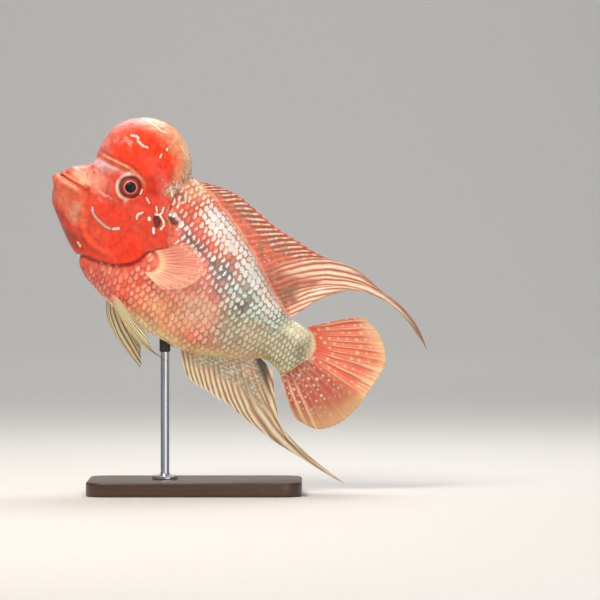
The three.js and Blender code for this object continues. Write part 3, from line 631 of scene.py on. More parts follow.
    # a painted highlight on the gill edge with a painted shadow behind it, painted shade in the mouth's slit
    # and a painted highlight on the lower lip, the lines of the face, and the hump's bright cobbles
    over = overMouth(s, h)
    layers += [
        # a painted highlight along the gill cover's edge, and a painted shadow under it
        ("#f6b494", 0.8 * bump(depth - 0.4, 0.6) * ramp(h, -4, 8)),
        ("#7c241c", 0.7 * bump(depth + 1.2, 1.4) * ramp(h, 12, -2)),
        # painted shade in the mouth's slit, and a painted highlight on the top of the lower lip
        ("#b44a34", 0.7 * bump(over, 0.6) * ramp(s, 25, 22)),
        ("#f8a488", 0.5 * bump(over + 2.0, 1.0) * ramp(s, 20, 12)),
    ]
    layers += [(hexColour, stroke(s, h, *line)) for hexColour, *line in foldShadeAndHighlight]
    layers.append(("#ff5c2c", 0.35 * ramp(h, 44, 52) * (1 - cobbled) * ramp(noise(points, 3.6, 4), 0, 0.5)
                   * ramp(s, 82, 74)))
    mottle = 1 + 0.07 * noise(points, 1.8, 22) + 0.1 * noise(points, 5, 23)
    return np.clip(painted("#e04a32", layers) * mottle[..., None], 0, 1)


# Fish skin under slime: soft light passes into it, and a thin wet coat gives small sharp highlights
skinGrain, skinBlotch, ropeWidth, markWander = 0.7, 3.5, 2.5, 1.4  # in millimetres
skinMaterial, node = newMaterial("moistFishSkin", {
    "Roughness": 0.42, "IOR": 1.36, "Specular IOR Level": 0.3,
    "Subsurface Weight": 0.18, "Subsurface Radius": (1.0, 0.35, 0.25), "Subsurface Scale": 2 * mm,
    "Coat Weight": 0.45, "Coat Roughness": 0.12, "Coat IOR": 1.4,
})
here = node("TexCoord")["Object"]
paint = node("Attribute", {"attribute_name": "paint"})["Color"]
grain = node("TexNoise", {"Scale": 1000 / skinGrain, "Detail": 3}, {"Vector": here})["Fac"]
tone = node("MapRange", {"To Min": 0.84, "To Max": 1.16}, {"Value": grain})["Result"]
toned = node("VectorMath", {"operation": "SCALE"}, {0: paint, "Scale": tone})["Vector"]
blotch = node("TexNoise", {"Scale": 1000 / skinBlotch, "Detail": 4}, {"Vector": here})["Fac"]
blotchMask = node("MapRange", {"From Min": 0.38, "From Max": 0.62}, {"Value": blotch})["Result"]
darkAndLight = {"data_type": "RGBA", 6: (0.92, 0.76, 0.7, 1), 7: (1.04, 1.1, 1.04, 1)}
tint = node("Mix", darkAndLight, {"Factor": blotchMask})[2]
mottled = node("VectorMath", {"operation": "MULTIPLY"}, {0: toned, 1: tint})["Vector"]
# the ropes: stretched cells in creams with brown gaps, where the ropes attribute asks for them
stretched = node("Mapping", {"Rotation": (0, 0.25, 0), "Scale": (1.0, 1.0, 0.42)}, {"Vector": here})["Vector"]
cells = {"Scale": 1000 / ropeWidth}
ropeEdge = node("TexVoronoi", {"feature": "DISTANCE_TO_EDGE", **cells}, {"Vector": stretched})["Distance"]
ropeTone = node("TexVoronoi", cells, {"Vector": stretched})["Color"]
ropeRed = node("SeparateColor", links={0: ropeTone})[0]
ropeColour = node("Mix", twoColours("#f4bc94", "#fff6d8"), {"Factor": ropeRed})[2]
ropeGap = node("MapRange", {"From Min": 0.0, "From Max": 0.14}, {"Value": ropeEdge})["Result"]
roped = node("Mix", {"data_type": "RGBA", 6: rgba("#9c6c50")}, {"Factor": ropeGap, 7: ropeColour})[2]
ropeShare = node("Attribute", {"attribute_name": "ropes"})["Fac"]
withRopes = node("Mix", {"data_type": "RGBA"}, {"Factor": ropeShare, 6: mottled, 7: roped})[2]
# the pale marks, each in a thin shadow
wanders = node("TexNoise", {"Scale": 1000 / markWander, "Detail": 2}, {"Vector": here})["Fac"]
markOff = node("Attribute", {"attribute_name": "markOff"})["Fac"]
markEdge = node("Math", {"operation": "MULTIPLY_ADD", 1: 1.5}, {0: wanders, 2: markOff})[0]
shadow = node("MapRange", {"From Min": 1.9, "From Max": 0.9, "To Max": 0.5}, {"Value": markEdge})["Result"]
shadowed = node("Mix", {"data_type": "RGBA", 7: rgba("#8e3a2a")}, {"Factor": shadow, 6: withRopes})[2]
markMask = node("MapRange", {"From Min": 1.0, "From Max": 0.55}, {"Value": markEdge})["Result"]
markColour = node("Attribute", {"attribute_name": "markColour"})["Color"]
marked = node("Mix", {"data_type": "RGBA"}, {"Factor": markMask, 6: shadowed, 7: markColour})[2]
ripple = node("Bump", {"Strength": 0.4, "Distance": 0.12 * mm}, {"Height": grain})["Normal"]
swell = node("Bump", {"Strength": 0.3, "Distance": 0.5 * mm}, {"Height": blotch, "Normal": ripple})["Normal"]
ropeHeight = node("Math", {"operation": "MULTIPLY"}, {0: ropeGap, 1: ropeShare})[0]
coiled = node("Bump", {"Strength": 0.6, "Distance": 0.4 * mm},
              {"Height": ropeHeight, "Normal": swell})["Normal"]
feedShader(skinMaterial, {"Base Color": marked, "Normal": coiled})


def flankLine(k):
    # the line along the middle of the flank
    return bareSkin(k, np.full(k.shape, math.pi / 2))


stations = np.linspace(0, lastStation, 400)
stationArc = arcOf(flankLine(stations))


def unwrap(k, angle):
    # the skin's own unwrap: once round across it, and up it the arc along the flank from mouth to tail
    up = np.interp(k, stations, stationArc / stationArc[-1])
    return 0.01 + 0.98 * np.stack([angle / (2 * math.pi), up], -1)


def makeSkin():
    # rows from the mouth to the tail root, closed round, with a fan at each end
    across = body["columns"]
    k = np.concatenate([np.linspace(n, n + 1, count, endpoint=False)
                        for n, count in enumerate(body["rows"])])[1:]
    t = np.arange(across + 1) * 2 * math.pi / across
    kGrid, tGrid = grid(k, t[:-1])
    shape = skin(kGrid, tGrid + body["crowding"] * np.sin(2 * tGrid), -body["coatDepth"])
    points = np.vstack([shape.reshape(-1, 3), shape[0].mean(0), shape[-1].mean(0)])
    i, j = grid(np.arange(len(k) - 1), np.arange(across))
    quadMap = unwrap(k[np.stack([i, i + 1, i + 1, i], -1)], t[np.stack([j, j, j + 1, j + 1], -1)])
    ring = np.arange(across)
    frontMap = unwrap(np.tile([0, k[0], k[0]], (across, 1)), t[np.stack([ring, ring, ring + 1], -1)])
    rearMap = unwrap(np.tile([lastStation, k[-1], k[-1]], (across, 1)),
                     t[np.stack([ring, ring + 1, ring], -1)])
    corners = np.concatenate([part.reshape(-1, 2) for part in (quadMap, frontMap, rearMap)])
    off, markColour = markField(points)
    attributes = {"paint": colours(markings(points, withMarks=False)), "markOff": off,
                  "markColour": colours(markColour), "ropes": ropes(points)}
    return meshPiece("skin", place(points), tube(len(k), across), skinMaterial, attributes,
                     {"OFBake": corners})


skinPiece = makeSkin()
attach(skinPiece, "root")
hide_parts("head", "nuchal_hump", "lower_jaw", "gill_cover_left", "gill_cover_right", "torso",
            "tail_root")
print("skin", len(skinPiece.data.polygons))


# Scales: thin bony plates that overlap like roof tiles, each with a pearl of silvery pigment
scales = {
    "pitch": 4.05, "rowGap": 5.7,  # between scales of a row, and between rows
    "halfLength": 3.9, "halfWidth": 4.3,
    "slope": 0.12,  # how fast the rows sink towards the tail
    "tailSize": 0.74, "shrinkFrom": 140, "shrinkTo": 205,  # size at the tail root against the flank
    "rowsEachWay": 24,  # rows above and below the middle
    "levelAt": 100,  # where along s the middle row lies on the middle of the flank
    "edgeGap": 0.8,  # the bare strip along back and belly
    "thickness": 0.16, "frontLift": -0.28, "rearLift": 0.42, "dome": 0.16,
    "round": 12, "rings": [0.5, 0.82, 1.0], "lowerRim": 0.97,
    "unlike": (0.012, 0.012, 0.04),  # random differences of station, angle and size
    "shades": 0.15,  # random difference of colour from scale to scale
    "bakePatch": 0.0015,  # half of each scale's patch on the unwrap
    "firstStation": 8, "from": 52,  # from which station the scales start, and from where along s
    "behindGill": 2.2,  # how far behind the gill cover they start
    "sharp": 50,  # the least angle of a sharp edge, in degrees
}
# Fish scale: clear bone over silvery pigment, smooth, with growth rings that catch the light
pearlWander = 1.5  # how coarsely a pearl's outline wanders, in millimetres
growthRings = 62  # the rings' wave in radians from a scale's middle to its rim, which makes ten of them
scaleMaterial, node = newMaterial("pearledFishScale", {
    "Roughness": 0.36, "IOR": 1.5, "Subsurface Weight": 0.12, "Subsurface Radius": (1.0, 0.4, 0.3),
    "Subsurface Scale": 1.2 * mm, "Coat Weight": 0.4, "Coat Roughness": 0.14,
})
own = node("UVMap", {"uv_map": "scaleMap"})["UV"]
paint = node("Attribute", {"attribute_name": "paint"})["Color"]
pearl = node("Attribute", {"attribute_name": "pearl"})["Color"]
halfAlong, halfAcross, strength = node("SeparateXYZ", links={
    0: node("Attribute", {"attribute_name": "pearlForm"})["Vector"]}).values()
middle, bend, lean = node("SeparateXYZ", links={
    0: node("Attribute", {"attribute_name": "pearlPlace"})["Vector"]}).values()
here = node("TexCoord")["Object"]
wobble = node("TexNoise", {"Scale": 1000 / pearlWander, "Detail": 2}, {"Vector": here})["Color"]
centred = node("VectorMath", {"operation": "SUBTRACT", 1: (0.5, 0.5, 0.5)}, {0: wobble})["Vector"]
shifted = node("VectorMath", {"operation": "MULTIPLY_ADD", 1: (0.55, 0.9, 0)}, {0: centred, 2: own})["Vector"]
along, across, _ = node("SeparateXYZ", links={0: shifted}).values()
# the pearl: an oval about its middle on the scale, bent to a crescent and leant, soft at its edge
square = node("Math", {"operation": "MULTIPLY"}, {0: across, 1: across})[0]
bent = node("Math", {"operation": "MULTIPLY_ADD"}, {0: square, 1: bend, 2: along})[0]
leant = node("Math", {"operation": "MULTIPLY_ADD"}, {0: across, 1: lean, 2: bent})[0]
fromPearl = node("Math", {"operation": "SUBTRACT"}, {0: leant, 1: middle})[0]
outAlong = node("Math", {"operation": "DIVIDE"}, {0: fromPearl, 1: halfAlong})[0]
outAcross = node("Math", {"operation": "DIVIDE"}, {0: across, 1: halfAcross})[0]
outBoth = node("CombineXYZ", links={0: outAlong, 1: outAcross})[0]
pearlOff = node("VectorMath", {"operation": "LENGTH"}, {0: outBoth})["Value"]
pearlMask = node("MapRange", {"From Min": 1.2, "From Max": 0.75}, {"Value": pearlOff})["Result"]
pearlShare = node("Math", {"operation": "MULTIPLY"}, {0: pearlMask, 1: strength})[0]
fromMiddle = node("VectorMath", {"operation": "LENGTH"}, {0: own})["Value"]
# each plate is a little lighter in its middle and darker towards its rim: painted shade where the plates
# overlap
rimShadeRange = {"From Min": 0.75, "From Max": 1.0, "To Min": 1.1, "To Max": 0.58}
rim = node("MapRange", rimShadeRange, {"Value": fromMiddle})["Result"]
rimShaded = node("VectorMath", {"operation": "SCALE"}, {0: paint, "Scale": rim})["Vector"]
pearled = node("Mix", {"data_type": "RGBA"}, {"Factor": pearlShare, 6: rimShaded, 7: pearl})[2]
ringWave = node("Math", {"operation": "MULTIPLY", 1: growthRings}, {0: fromMiddle})[0]
ringHeight = node("Math", {"operation": "SINE"}, {0: ringWave})[0]
ripple = node("Bump", {"Strength": 0.25, "Distance": 0.05 * mm}, {"Height": ringHeight})["Normal"]
feedShader(scaleMaterial, {"Base Color": pearled, "Normal": ripple})


def scaleRoots():
    # a staggered lattice: rows at equal arcs round the body, columns at equal arcs along it, and plates
    # that shrink towards the tail
    k = np.linspace(scales["firstStation"], lastStation - 0.05, 900)
    middle = flankLine(k)
    size = 1 - (1 - scales["tailSize"]) * ramp(middle[:, 0], scales["shrinkFrom"], scales["shrinkTo"])
    steps = np.concatenate([[0], np.cumsum(np.diff(arcOf(middle)) / size[1:])]) / scales["pitch"]
    columnK = np.interp(np.arange(int(steps[-1] * 2)) / 2, steps, k)
    angle = np.linspace(0, math.pi, 160)
    half = len(angle) // 2
    roots = []
    for column, (columnStation, columnSize) in enumerate(zip(columnK, np.interp(columnK, k, size))):
        section = bareSkin(np.full(angle.shape, columnStation), angle)
        arc = arcOf(section)
        rows = np.arange(-scales["rowsEachWay"], scales["rowsEachWay"] + 1)
        rows = rows[(rows + column) % 2 == 0]
        level = arc[half] - scales["slope"] * (section[half, 0] - scales["levelAt"])
        wanted = level + rows * scales["rowGap"] * columnSize
        wanted = wanted[(wanted > scales["edgeGap"]) & (wanted < arc[-1] - scales["edgeGap"])]
        found = np.interp(wanted, arc, angle)
        roots.append(np.stack(np.broadcast_arrays(columnStation, found, columnSize), -1))
    roots = np.concatenate(roots)
    both = np.concatenate([roots, roots * [1, -1, 1] + [0, 2 * math.pi, 0]])
    return both + random.uniform(-1, 1, both.shape) * scales["unlike"]


pearlKinds = [
    # colour, half length along and across the scale, middle along it, bend, and strength
    ("#fce4d0", 0.17, 0.52, 0.50, 0.15, 0.92),  # shoulder: upright dashes
    ("#fffaee", 0.66, 0.74, 0.48, 0.30, 1.0),  # upper band: broad cream pearls
    ("#e2efe8", 0.35, 0.48, 0.50, 0.40, 0.96),  # row of dark flowers
    ("#cce2d2", 0.38, 0.52, 0.52, 0.50, 0.95),  # upper rear
    ("#e0dabc", 0.27, 0.58, 0.54, 0.50, 0.75),  # lower rear: crescents
    ("#ffd4b6", 0.27, 0.50, 0.48, 0.50, 0.6),  # belly: soft pink middles
    ("#eee8cc", 0.28, 0.46, 0.50, 0.40, 0.7),  # tail root
]


def pearlsAt(places):
    # each scale's pearl is a mean of the kinds, weighted by where the scale lies, with random differences
    s, _, h = np.moveaxis(places, -1, 0)
    share = upperShare(s, h)
    rear = ramp(s + 0.22 * h, 130, 152)
    band = bump(distanceTo(flank["pearlBand"], s, h), flank["bandReach"]) ** 2
    row = bump(distanceTo(flank["flowerRow"], s, h), 6.5 + 5 * ramp(s, 118, 140)) ** 2
    high = ramp(share, 0.42, 0.52)
    weights = np.stack([
        0.6 * high * (1 - rear), 6 * band * (1 - 0.15 * rear), 2.5 * row, rear * ramp(share, 0.55, 0.75),
        rear * ramp(share, 0.75, 0.5), (1 - high) * (1 - rear), 3 * ramp(s, 184, 196),
    ], -1)
    weights = weights / weights.sum(-1, keepdims=True)
    colour = weights @ np.stack([linear(kind[0]) for kind in pearlKinds])
    along, across, middle, bend, strength = (weights @ np.array([kind[1:] for kind in pearlKinds])).T
    unlike = random.uniform(-1, 1, (len(s), 6)).T
    chest = ramp(s, 96, 78) * ramp(h, -12, -26)
    tailSpot = patch(s, h, (209, 1.5), (6, 9))
    missing = random.uniform(0, 1, len(s)) < 0.25 * (1 - np.clip(1.5 * band + 0.5 * rear, 0, 1))
    strength = strength * (1 - 0.6 * chest) * (1 - 0.5 * tailSpot) * (1 + 0.12 * unlike[1])
    strength = np.clip(strength * np.where(missing, 0.1, 1), 0, 1)
    form = np.stack([along * (1 + 0.28 * unlike[2]), across * (1 + 0.25 * unlike[3]), strength], -1)
    spot = np.stack([middle + 0.06 * unlike[4], bend, 0.35 * unlike[5]], -1)
    return np.clip(colour * (1 + 0.12 * unlike[0][:, None]), 0, 1), form, spot


def makeScales(name, roots):
    # each plate is a domed disc on the skin, its front sunk and its rear lifted, closed by a flat underside
    around, count = scales["round"], len(roots)
    phi = np.arange(around) * 2 * math.pi / around
    circle = np.stack([np.cos(phi), np.sin(phi)], -1)
    radii = [*scales["rings"], scales["lowerRim"]]
    disc = np.concatenate([np.zeros((1, 2)), *(radius * circle for radius in radii), np.zeros((1, 2))])
    under = np.arange(len(disc)) >= 1 + around * len(scales["rings"])
    k, angle, size = roots.T[:, :, None]
    step = body["step"] / 2
    perK = np.linalg.norm(bareSkin(k + step, angle) - bareSkin(k - step, angle), axis=-1) / (2 * step)
    perAngle = np.linalg.norm(bareSkin(k, angle + step) - bareSkin(k, angle - step), axis=-1) / (2 * step)
    dome = scales["dome"] * (1 - (disc ** 2).sum(-1))
    lift = scales["frontLift"] + (scales["rearLift"] - scales["frontLift"]) * (0.5 + 0.5 * disc[:, 0])
    lift = lift + np.where(under, -scales["thickness"], dome)
    plateK = np.clip(k + scales["halfLength"] * size * disc[:, 0] / perK, 0.3, lastStation - 0.02)
    plateAngle = angle + scales["halfWidth"] * size * disc[:, 1] / perAngle
    points = skin(plateK, plateAngle, lift * size - body["coatDepth"]).reshape(-1, 3)
    at, after = 1 + np.arange(around), 1 + (np.arange(around) + 1) % around
    inner = around * np.arange(len(scales["rings"]))[:, None]
    quads = np.stack([at + inner, at + inner + around, after + inner + around, after + inner], -1)
    quads = quads.reshape(-1, 4)
    bottom = around * len(scales["rings"])
    triangles = np.concatenate([np.stack([0 * at, at, after], -1),
                                np.stack([0 * at + len(disc) - 1, after + bottom, at + bottom], -1)])
    offset = np.arange(count)[:, None, None] * len(disc)
    # on the unwrap, the wall's corners and the underside keep to the patch's edge
    rootMap = unwrap(roots[:, 0], roots[:, 1])[:, None]
    upper = rootMap + scales["bakePatch"] * 0.8 * disc
    lower = rootMap + scales["bakePatch"] * (np.array([0, 0.95]) + 0.05 * disc)
    bake = np.where(under[None, :, None], lower, upper)
    wall = bake[:, quads].copy()
    wall[:, -around:] = lower[:, quads[-around:]]
    bakeCorners = np.concatenate([wall.reshape(-1, 2), bake[:, triangles].reshape(-1, 2)])
    ownCorners = np.concatenate([np.broadcast_to(disc[block], (count,) + block.shape + (2,)).reshape(-1, 2)
                                 for block in (quads, triangles)])
    pearlColour, form, spot = pearlsAt(bareSkin(roots[:, 0], roots[:, 1]))
    each = np.repeat(np.arange(count), len(disc))
    tint = markings(points) * (1 + scales["shades"] * random.uniform(-1, 1, (count, 1)))[each]
    attributes = {"paint": colours(np.clip(tint, 0, 1)), "pearl": colours(pearlColour[each]),
                  "pearlForm": form[each], "pearlPlace": spot[each]}
    faces = [(offset + quads).reshape(-1, 4), (offset + triangles).reshape(-1, 3)]
    return meshPiece(name, place(points), faces, scaleMaterial, attributes,
                     {"OFBake": bakeCorners, "scaleMap": ownCorners}, sharp=scales["sharp"])


roots = scaleRoots()
rootPlaces = bareSkin(roots[:, 0], roots[:, 1])
behindHead = headDepth(rootPlaces[:, 0], rootPlaces[:, 2]) < -scales["behindGill"]
roots = roots[behindHead & (rootPlaces[:, 0] > scales["from"])]
for name, side in {"left": roots[:, 1] > math.pi, "right": roots[:, 1] <= math.pi}.items():
    piece = makeScales("scales_" + name, roots[side])
    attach(piece, "root")
    print("scales", name, side.sum(), len(piece.data.polygons))


# Eyes: a clear wet coat over a black pupil, a thin pale ring and a red iris
eye = {
    "radius": 8.2, "depth": 6.2, "sunk": 3.4, "round": 96, "rings": 72,
    "lens": 0.35, "lensReach": 4.6,  # how far the pupil swells out, and over what radius
    "pupil": 3.95, "ring": 4.15, "iris": 6.8, "lid": 8.0,  # radii
}
eyeMaterial, node = newMaterial("glossyFishEye", {
    "Roughness": 0.5, "IOR": 1.34, "Coat Weight": 0.28, "Coat Roughness": 0.03, "Coat IOR": 1.34,
})
feedShader(eyeMaterial, {"Base Color": node("Attribute", {"attribute_name": "paint"})["Color"]})


def makeEye(name, side):
    # a ball flattened towards the head: angle off its axis by angle round it
    off, turn = grid(np.linspace(0, math.pi, eye["rings"] + 1)[1:-1],
                     np.arange(eye["round"]) * 2 * math.pi / eye["round"])
    r = eye["radius"] * np.sin(off)
    outward = eye["depth"] * np.cos(off) + eye["lens"] * bump(r, eye["lensReach"]) * (off < math.pi / 2)
    ball = np.stack([r * np.cos(turn), side * outward, r * np.sin(turn)], -1).reshape(-1, 3)
    ball = np.vstack([ball, (0, side * (eye["depth"] + eye["lens"]), 0), (0, -side * eye["depth"], 0)])
    centre = [face["eye"][0], side * (halfWidthAt(*face["eye"]) - eye["sunk"]), face["eye"][1]]
    radial = np.hypot(ball[:, 0], ball[:, 2])
    around = np.arctan2(ball[:, 2], ball[:, 0])
    spokes = noise(np.stack([np.cos(around) * 9, np.sin(around) * 9, radial * 0.3], -1), 0.5, 31)
    ahead = aheadOf(ball[:, 0], ball[:, 2])
    shade = painted("#d9c8b8", [
        ("#5a4636", ramp(radial, eye["lid"], 7.6) * ramp(ahead, 0.2, 0.6)),
        ("#a8463a", ramp(radial, eye["lid"], 7.6) * ramp(ahead, 0.6, 0.2)),
        ("#ac2e26", ramp(radial, eye["iris"] + 0.4, eye["iris"] - 0.4)),
        ("#7c1c16", ramp(radial, eye["iris"], 6.4) * ramp(radial, 5.0, 5.8) * (0.35 + 0.35 * spokes)),
        ("#e06a5e", 0.7 * bump(radial - eye["ring"] - 0.35, 0.5)),
        ("#dcae94", 0.85 * bump(radial - eye["ring"], 0.17)),
        ("#0b0a0a", ramp(radial, eye["pupil"] + 0.1, eye["pupil"] - 0.1)),
    ])
    faces = [block[:, ::side] for block in tube(eye["rings"] - 1, eye["round"])]
    return meshPiece(name, place(ball + centre), faces, eyeMaterial, {"paint": colours(shade)})


for name, side in {"left": -1, "right": 1}.items():
    piece = makeEye("eyeball_" + name, side)
    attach(piece, "root")
    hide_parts("eye_" + name)
print("eyes")


# Fins: thin sheets whose rays run from a root line to a margin
def finPlace(fin, u, v):
    # each ray is a cubic Bezier from its root to its tip, and what the key rays hold is blended between them:
    # v, root, tip, the angles at which a ray leaves and arrives, and at times its curl
    stops = np.array([key[0] for key in fin["keys"]])
    i = np.clip(np.searchsorted(stops, v - 1e-9), 1, len(stops) - 1)
    t = i - 1 + (v - stops[i - 1]) / (stops[i] - stops[i - 1])
    rows = [[*root, *tip, leave, arrive, *(curl or [fin["curl"]])]
            for _, root, tip, leave, arrive, *curl in fin["keys"]]
    values = through(rows, t)
    root, tip = values[..., :2], values[..., 2:4]
    leave, arrive = np.radians(values[..., 4]), np.radians(values[..., 5])
    out = np.stack([np.cos(leave), np.sin(leave)], -1)
    into = np.stack([np.cos(arrive), np.sin(arrive)], -1)
    arm = np.linalg.norm(tip - root, axis=-1, keepdims=True) * values[..., 6:]
    u = u[..., None]
    w = 1 - u
    middle = 3 * w * w * u * (root + arm * out) + 3 * w * u * u * (tip - arm * into)
    return np.moveaxis(w ** 3 * (root - fin["sunk"] * out) + middle + u ** 3 * tip, -1, 0)


def rayWave(v, rays, phase=0):
    # 1 on each ray and 0 half way to the next
    return 0.5 + 0.5 * np.cos(2 * math.pi * (v * rays - phase))


def finPoints(fin, u, v, side):
    # a face of the sheet: membrane and ridge taper outwards, and the membrane billows between the rays
    spiny = ramp(v, fin["softFrom"] + 0.04, fin["softFrom"] - 0.04)
    single, double = rayWave(v, fin["rays"]), rayWave(v, 2 * fin["rays"], 0.5)
    # soft rays fork on their way out, so the count doubles towards the margin
    fork = ramp(u, 0.38, 0.72) * (1 - spiny)
    ridge = single * (1 - fork) + double * fork
    drawnIn = 1 - (1 - single) * fin["notch"] * spiny - (1 - double) * fin["softNotch"] * (1 - spiny)
    s, h = finPlace(fin, u * drawnIn, v)
    half = fin["membrane"] * (1 - 0.5 * u) + fin["ray"] * ridge ** 2 * (1 - 0.72 * u)
    half = half + fin["rootSwell"] * np.maximum(0, 1 - 5 * u) ** 2
    billow = fin["billow"] * u * (1 - ridge) * np.sin(2.3 * v * fin["rays"] + 1.1)
    return np.stack([s, fin["offset"](u, v) + billow + side * half, h], -1)


def makeFin(name, fin):
    # two faces split alike and closed by a rim
    columns, rows = fin["rays"] * fin["perRay"], fin["rows"]
    u, v = grid(np.linspace(0, 1, rows + 1), np.linspace(0, 1, columns + 1))
    sheets = np.stack([finPoints(fin, u, v, side) for side in (-1, 1)])
    middle = sheets.mean(0)
    steps = np.linalg.norm(np.diff(middle, axis=0), axis=-1)
    along = np.vstack([np.zeros(columns + 1), np.cumsum(steps, axis=0)])
    apart = np.linalg.norm(np.gradient(middle, axis=1), axis=-1) * fin["perRay"]
    colour, cover = fin["paint"](fin["rays"], u, v, along, apart, middle)
    layer = u.size
    at = np.arange(layer).reshape(u.shape)
    quad = np.stack([at[:-1, :-1], at[:-1, 1:], at[1:, 1:], at[1:, :-1]], -1).reshape(-1, 4)
    loop = np.concatenate([at[0, :-1], at[:-1, -1], at[-1, :0:-1], at[:0:-1, 0]])
    after = np.roll(loop, -1)
    rim = np.stack([loop, loop + layer, after + layer, after], -1)
    quads = np.concatenate([quad, quad[:, ::-1] + layer, rim])
    flat = np.stack([0.02 + 0.96 * v, 0.01 + 0.48 * u], -1).reshape(-1, 2)
    maps = np.vstack([flat, flat + [0, 0.5]])
    corners = maps[quads]
    corners[-len(rim):] = maps[rim[:, [0, 0, 3, 3]]]
    attributes = {"paint": np.tile(colours(colour, cover), (2, 1)), "cover": np.tile(cover.ravel(), 2)}
    return meshPiece(name, place(sheets.reshape(-1, 3)), [quads], fin["material"], attributes,
                     {"OFBake": corners})


finGrains = 1400  # to a metre, for a grain of about 0.7 mm


def makeFinMaterial(name, settings, clear):
    # thin skin over bony rays: light glows through it, and it is a little see-through where clear is set
    material, node = newMaterial(name, settings)
    paint = node("Attribute", {"attribute_name": "paint"})["Color"]
    here = node("TexCoord")["Object"]
    grain = node("TexNoise", {"Scale": finGrains, "Detail": 2}, {"Vector": here})["Fac"]
    tone = node("MapRange", {"To Min": 0.88, "To Max": 1.12}, {"Value": grain})["Result"]
    toned = node("VectorMath", {"operation": "SCALE"}, {0: paint, "Scale": tone})["Vector"]
    ripple = node("Bump", {"Strength": 0.3, "Distance": 0.06 * mm}, {"Height": grain})["Normal"]
    feedShader(material, {"Base Color": toned, "Normal": ripple})
    if clear:
        feedShader(material, {"Alpha": node("Attribute", {"attribute_name": "cover"})["Fac"]})
    return material


finMaterial = makeFinMaterial("wetFinMembrane", {
    "Roughness": 0.4, "IOR": 1.4, "Subsurface Weight": 0.25, "Subsurface Radius": (1.0, 0.5, 0.35),
    "Subsurface Scale": 1.5 * mm, "Coat Weight": 0.25, "Coat Roughness": 0.2,
}, clear=False)
clearFinMaterial = makeFinMaterial("clearFinMembrane", {
    "Roughness": 0.35, "IOR": 1.4, "Coat Weight": 0.3, "Coat Roughness": 0.2,
}, clear=True)


def dots(along, v, apart, rays, gap, size, seed, keep):
    # round dots along the rays, gap millimetres apart: staggered, uneven, and some left out at random
    ray = np.round(v * rays)
    shifted = along / gap + 0.5 * (ray % 2)
    cell = np.floor(shifted)
    key = np.stack([cell, ray, 0 * ray], -1) + 0.5
    luck, shift, swell = (noise(key, 0.77, seed + n) for n in range(3))
    off = np.hypot((shifted - cell - 0.5 - 0.35 * shift) * gap, (v * rays - ray - 0.1 * swell) * apart)
    reach = size * (1 + 0.6 * swell)
    return ramp(off, reach * 1.25, reach * 0.5) * (luck < 2 * keep - 1)


def paintDorsal(rays, u, v, along, apart, middle):
    # a pale base line, wine red with dark spots and pale dots, cream dashes up to a thin red margin, and
    # behind them a striped lobe
    wander = 0.09 * noise(middle, 6, 41)
    blot, fine = noise(middle, 4, 43), noise(middle, 1.6, 44)
    ray = rayWave(v + 0.005 * noise(middle, 7, 45), rays)
    lobe = ramp(v, 0.6, 0.71)
    front, inner, between = 1 - lobe, ramp(u, 0.7, 0.5), v + 0.5 / rays
    low = ramp(along, 7, 9) * ramp(along + 30 * wander, 30, 20) * inner * ramp(v, 0.03, 0.08)
    starts = 0.4 - 0.28 * ramp(v, 0.2, 0.06)
    outer = front * ramp(u + wander, starts, starts + 0.1)
    streak = (front * ramp(ray + 0.15 * fine, 0.42, 0.7) * ramp(u + wander, starts, starts + 0.12)
              * ramp(u, 0.95, 0.9))
    rearBase = patch(v, along, (0.86, 14), (0.08, 9))
    return painted("#b4543e", [
        ("#e2684a", front * ramp(u + wander, 0.52, 0.3)),
        ("#f0683c", 0.8 * patch(v, u, (0.5, 0.42), (0.11, 0.16))),
        ("#f0a488", 0.5 * ramp(ray, 0.4, 0.9) * ramp(along, 7, 9) * inner),
        ("#94704e", 0.6 * low * ramp(blot + 0.5 * fine, -0.5, 0.7)),
        ("#80604c", 0.35 * low * dots(along, between, apart, rays, 5.6, 2.4, 42, 0.6)),
        ("#d0cab4", 0.55 * low * dots(along, between, apart, rays, 5.6, 0.75, 47, 0.5)),
        ("#a04a38", 0.75 * outer),
        ("#766452", 0.6 * outer * ramp(blot, -0.1, 0.35)),
        ("#d89c7c", 0.95 * streak),
        ("#f6e6ca", 0.9 * streak * ramp(ray + 0.3 * fine, 0.8, 1.05)),
        ("#b4705a", 0.9 * lobe * ramp(u, 0.1, 0.3)),
        ("#f6cfac", 0.95 * lobe * ramp(ray + 0.1 * fine, 0.14, 0.4) * ramp(u + wander, 0.12, 0.34)),
        # the lobe's pale bands are palest along each ray's middle, a painted highlight on the ray
        ("#fff0d8", 0.85 * lobe * ramp(ray + 0.25 * fine, 0.6, 0.9) * ramp(u + wander, 0.25, 0.5)),
        ("#dc6c50", 0.4 * lobe * bump(rayWave(v, rays, 0.32) - 1, 0.12) * ramp(u, 0.2, 0.4)),
        ("#94785e", 0.85 * lobe * ramp(u, 0.72, 0.97)),
        ("#8a7654", 0.7 * rearBase * ramp(blot + 0.4 * fine, -0.7, 0.4)),
        ("#ecae8e", ramp(along + 12 * wander, 8.0, 5.6) * (0.8 + 0.3 * fine)),
        ("#e2674a", ramp(u, 0.95, 0.97) * ramp(v, 0.74, 0.66)),
    ]), np.ones(u.shape)


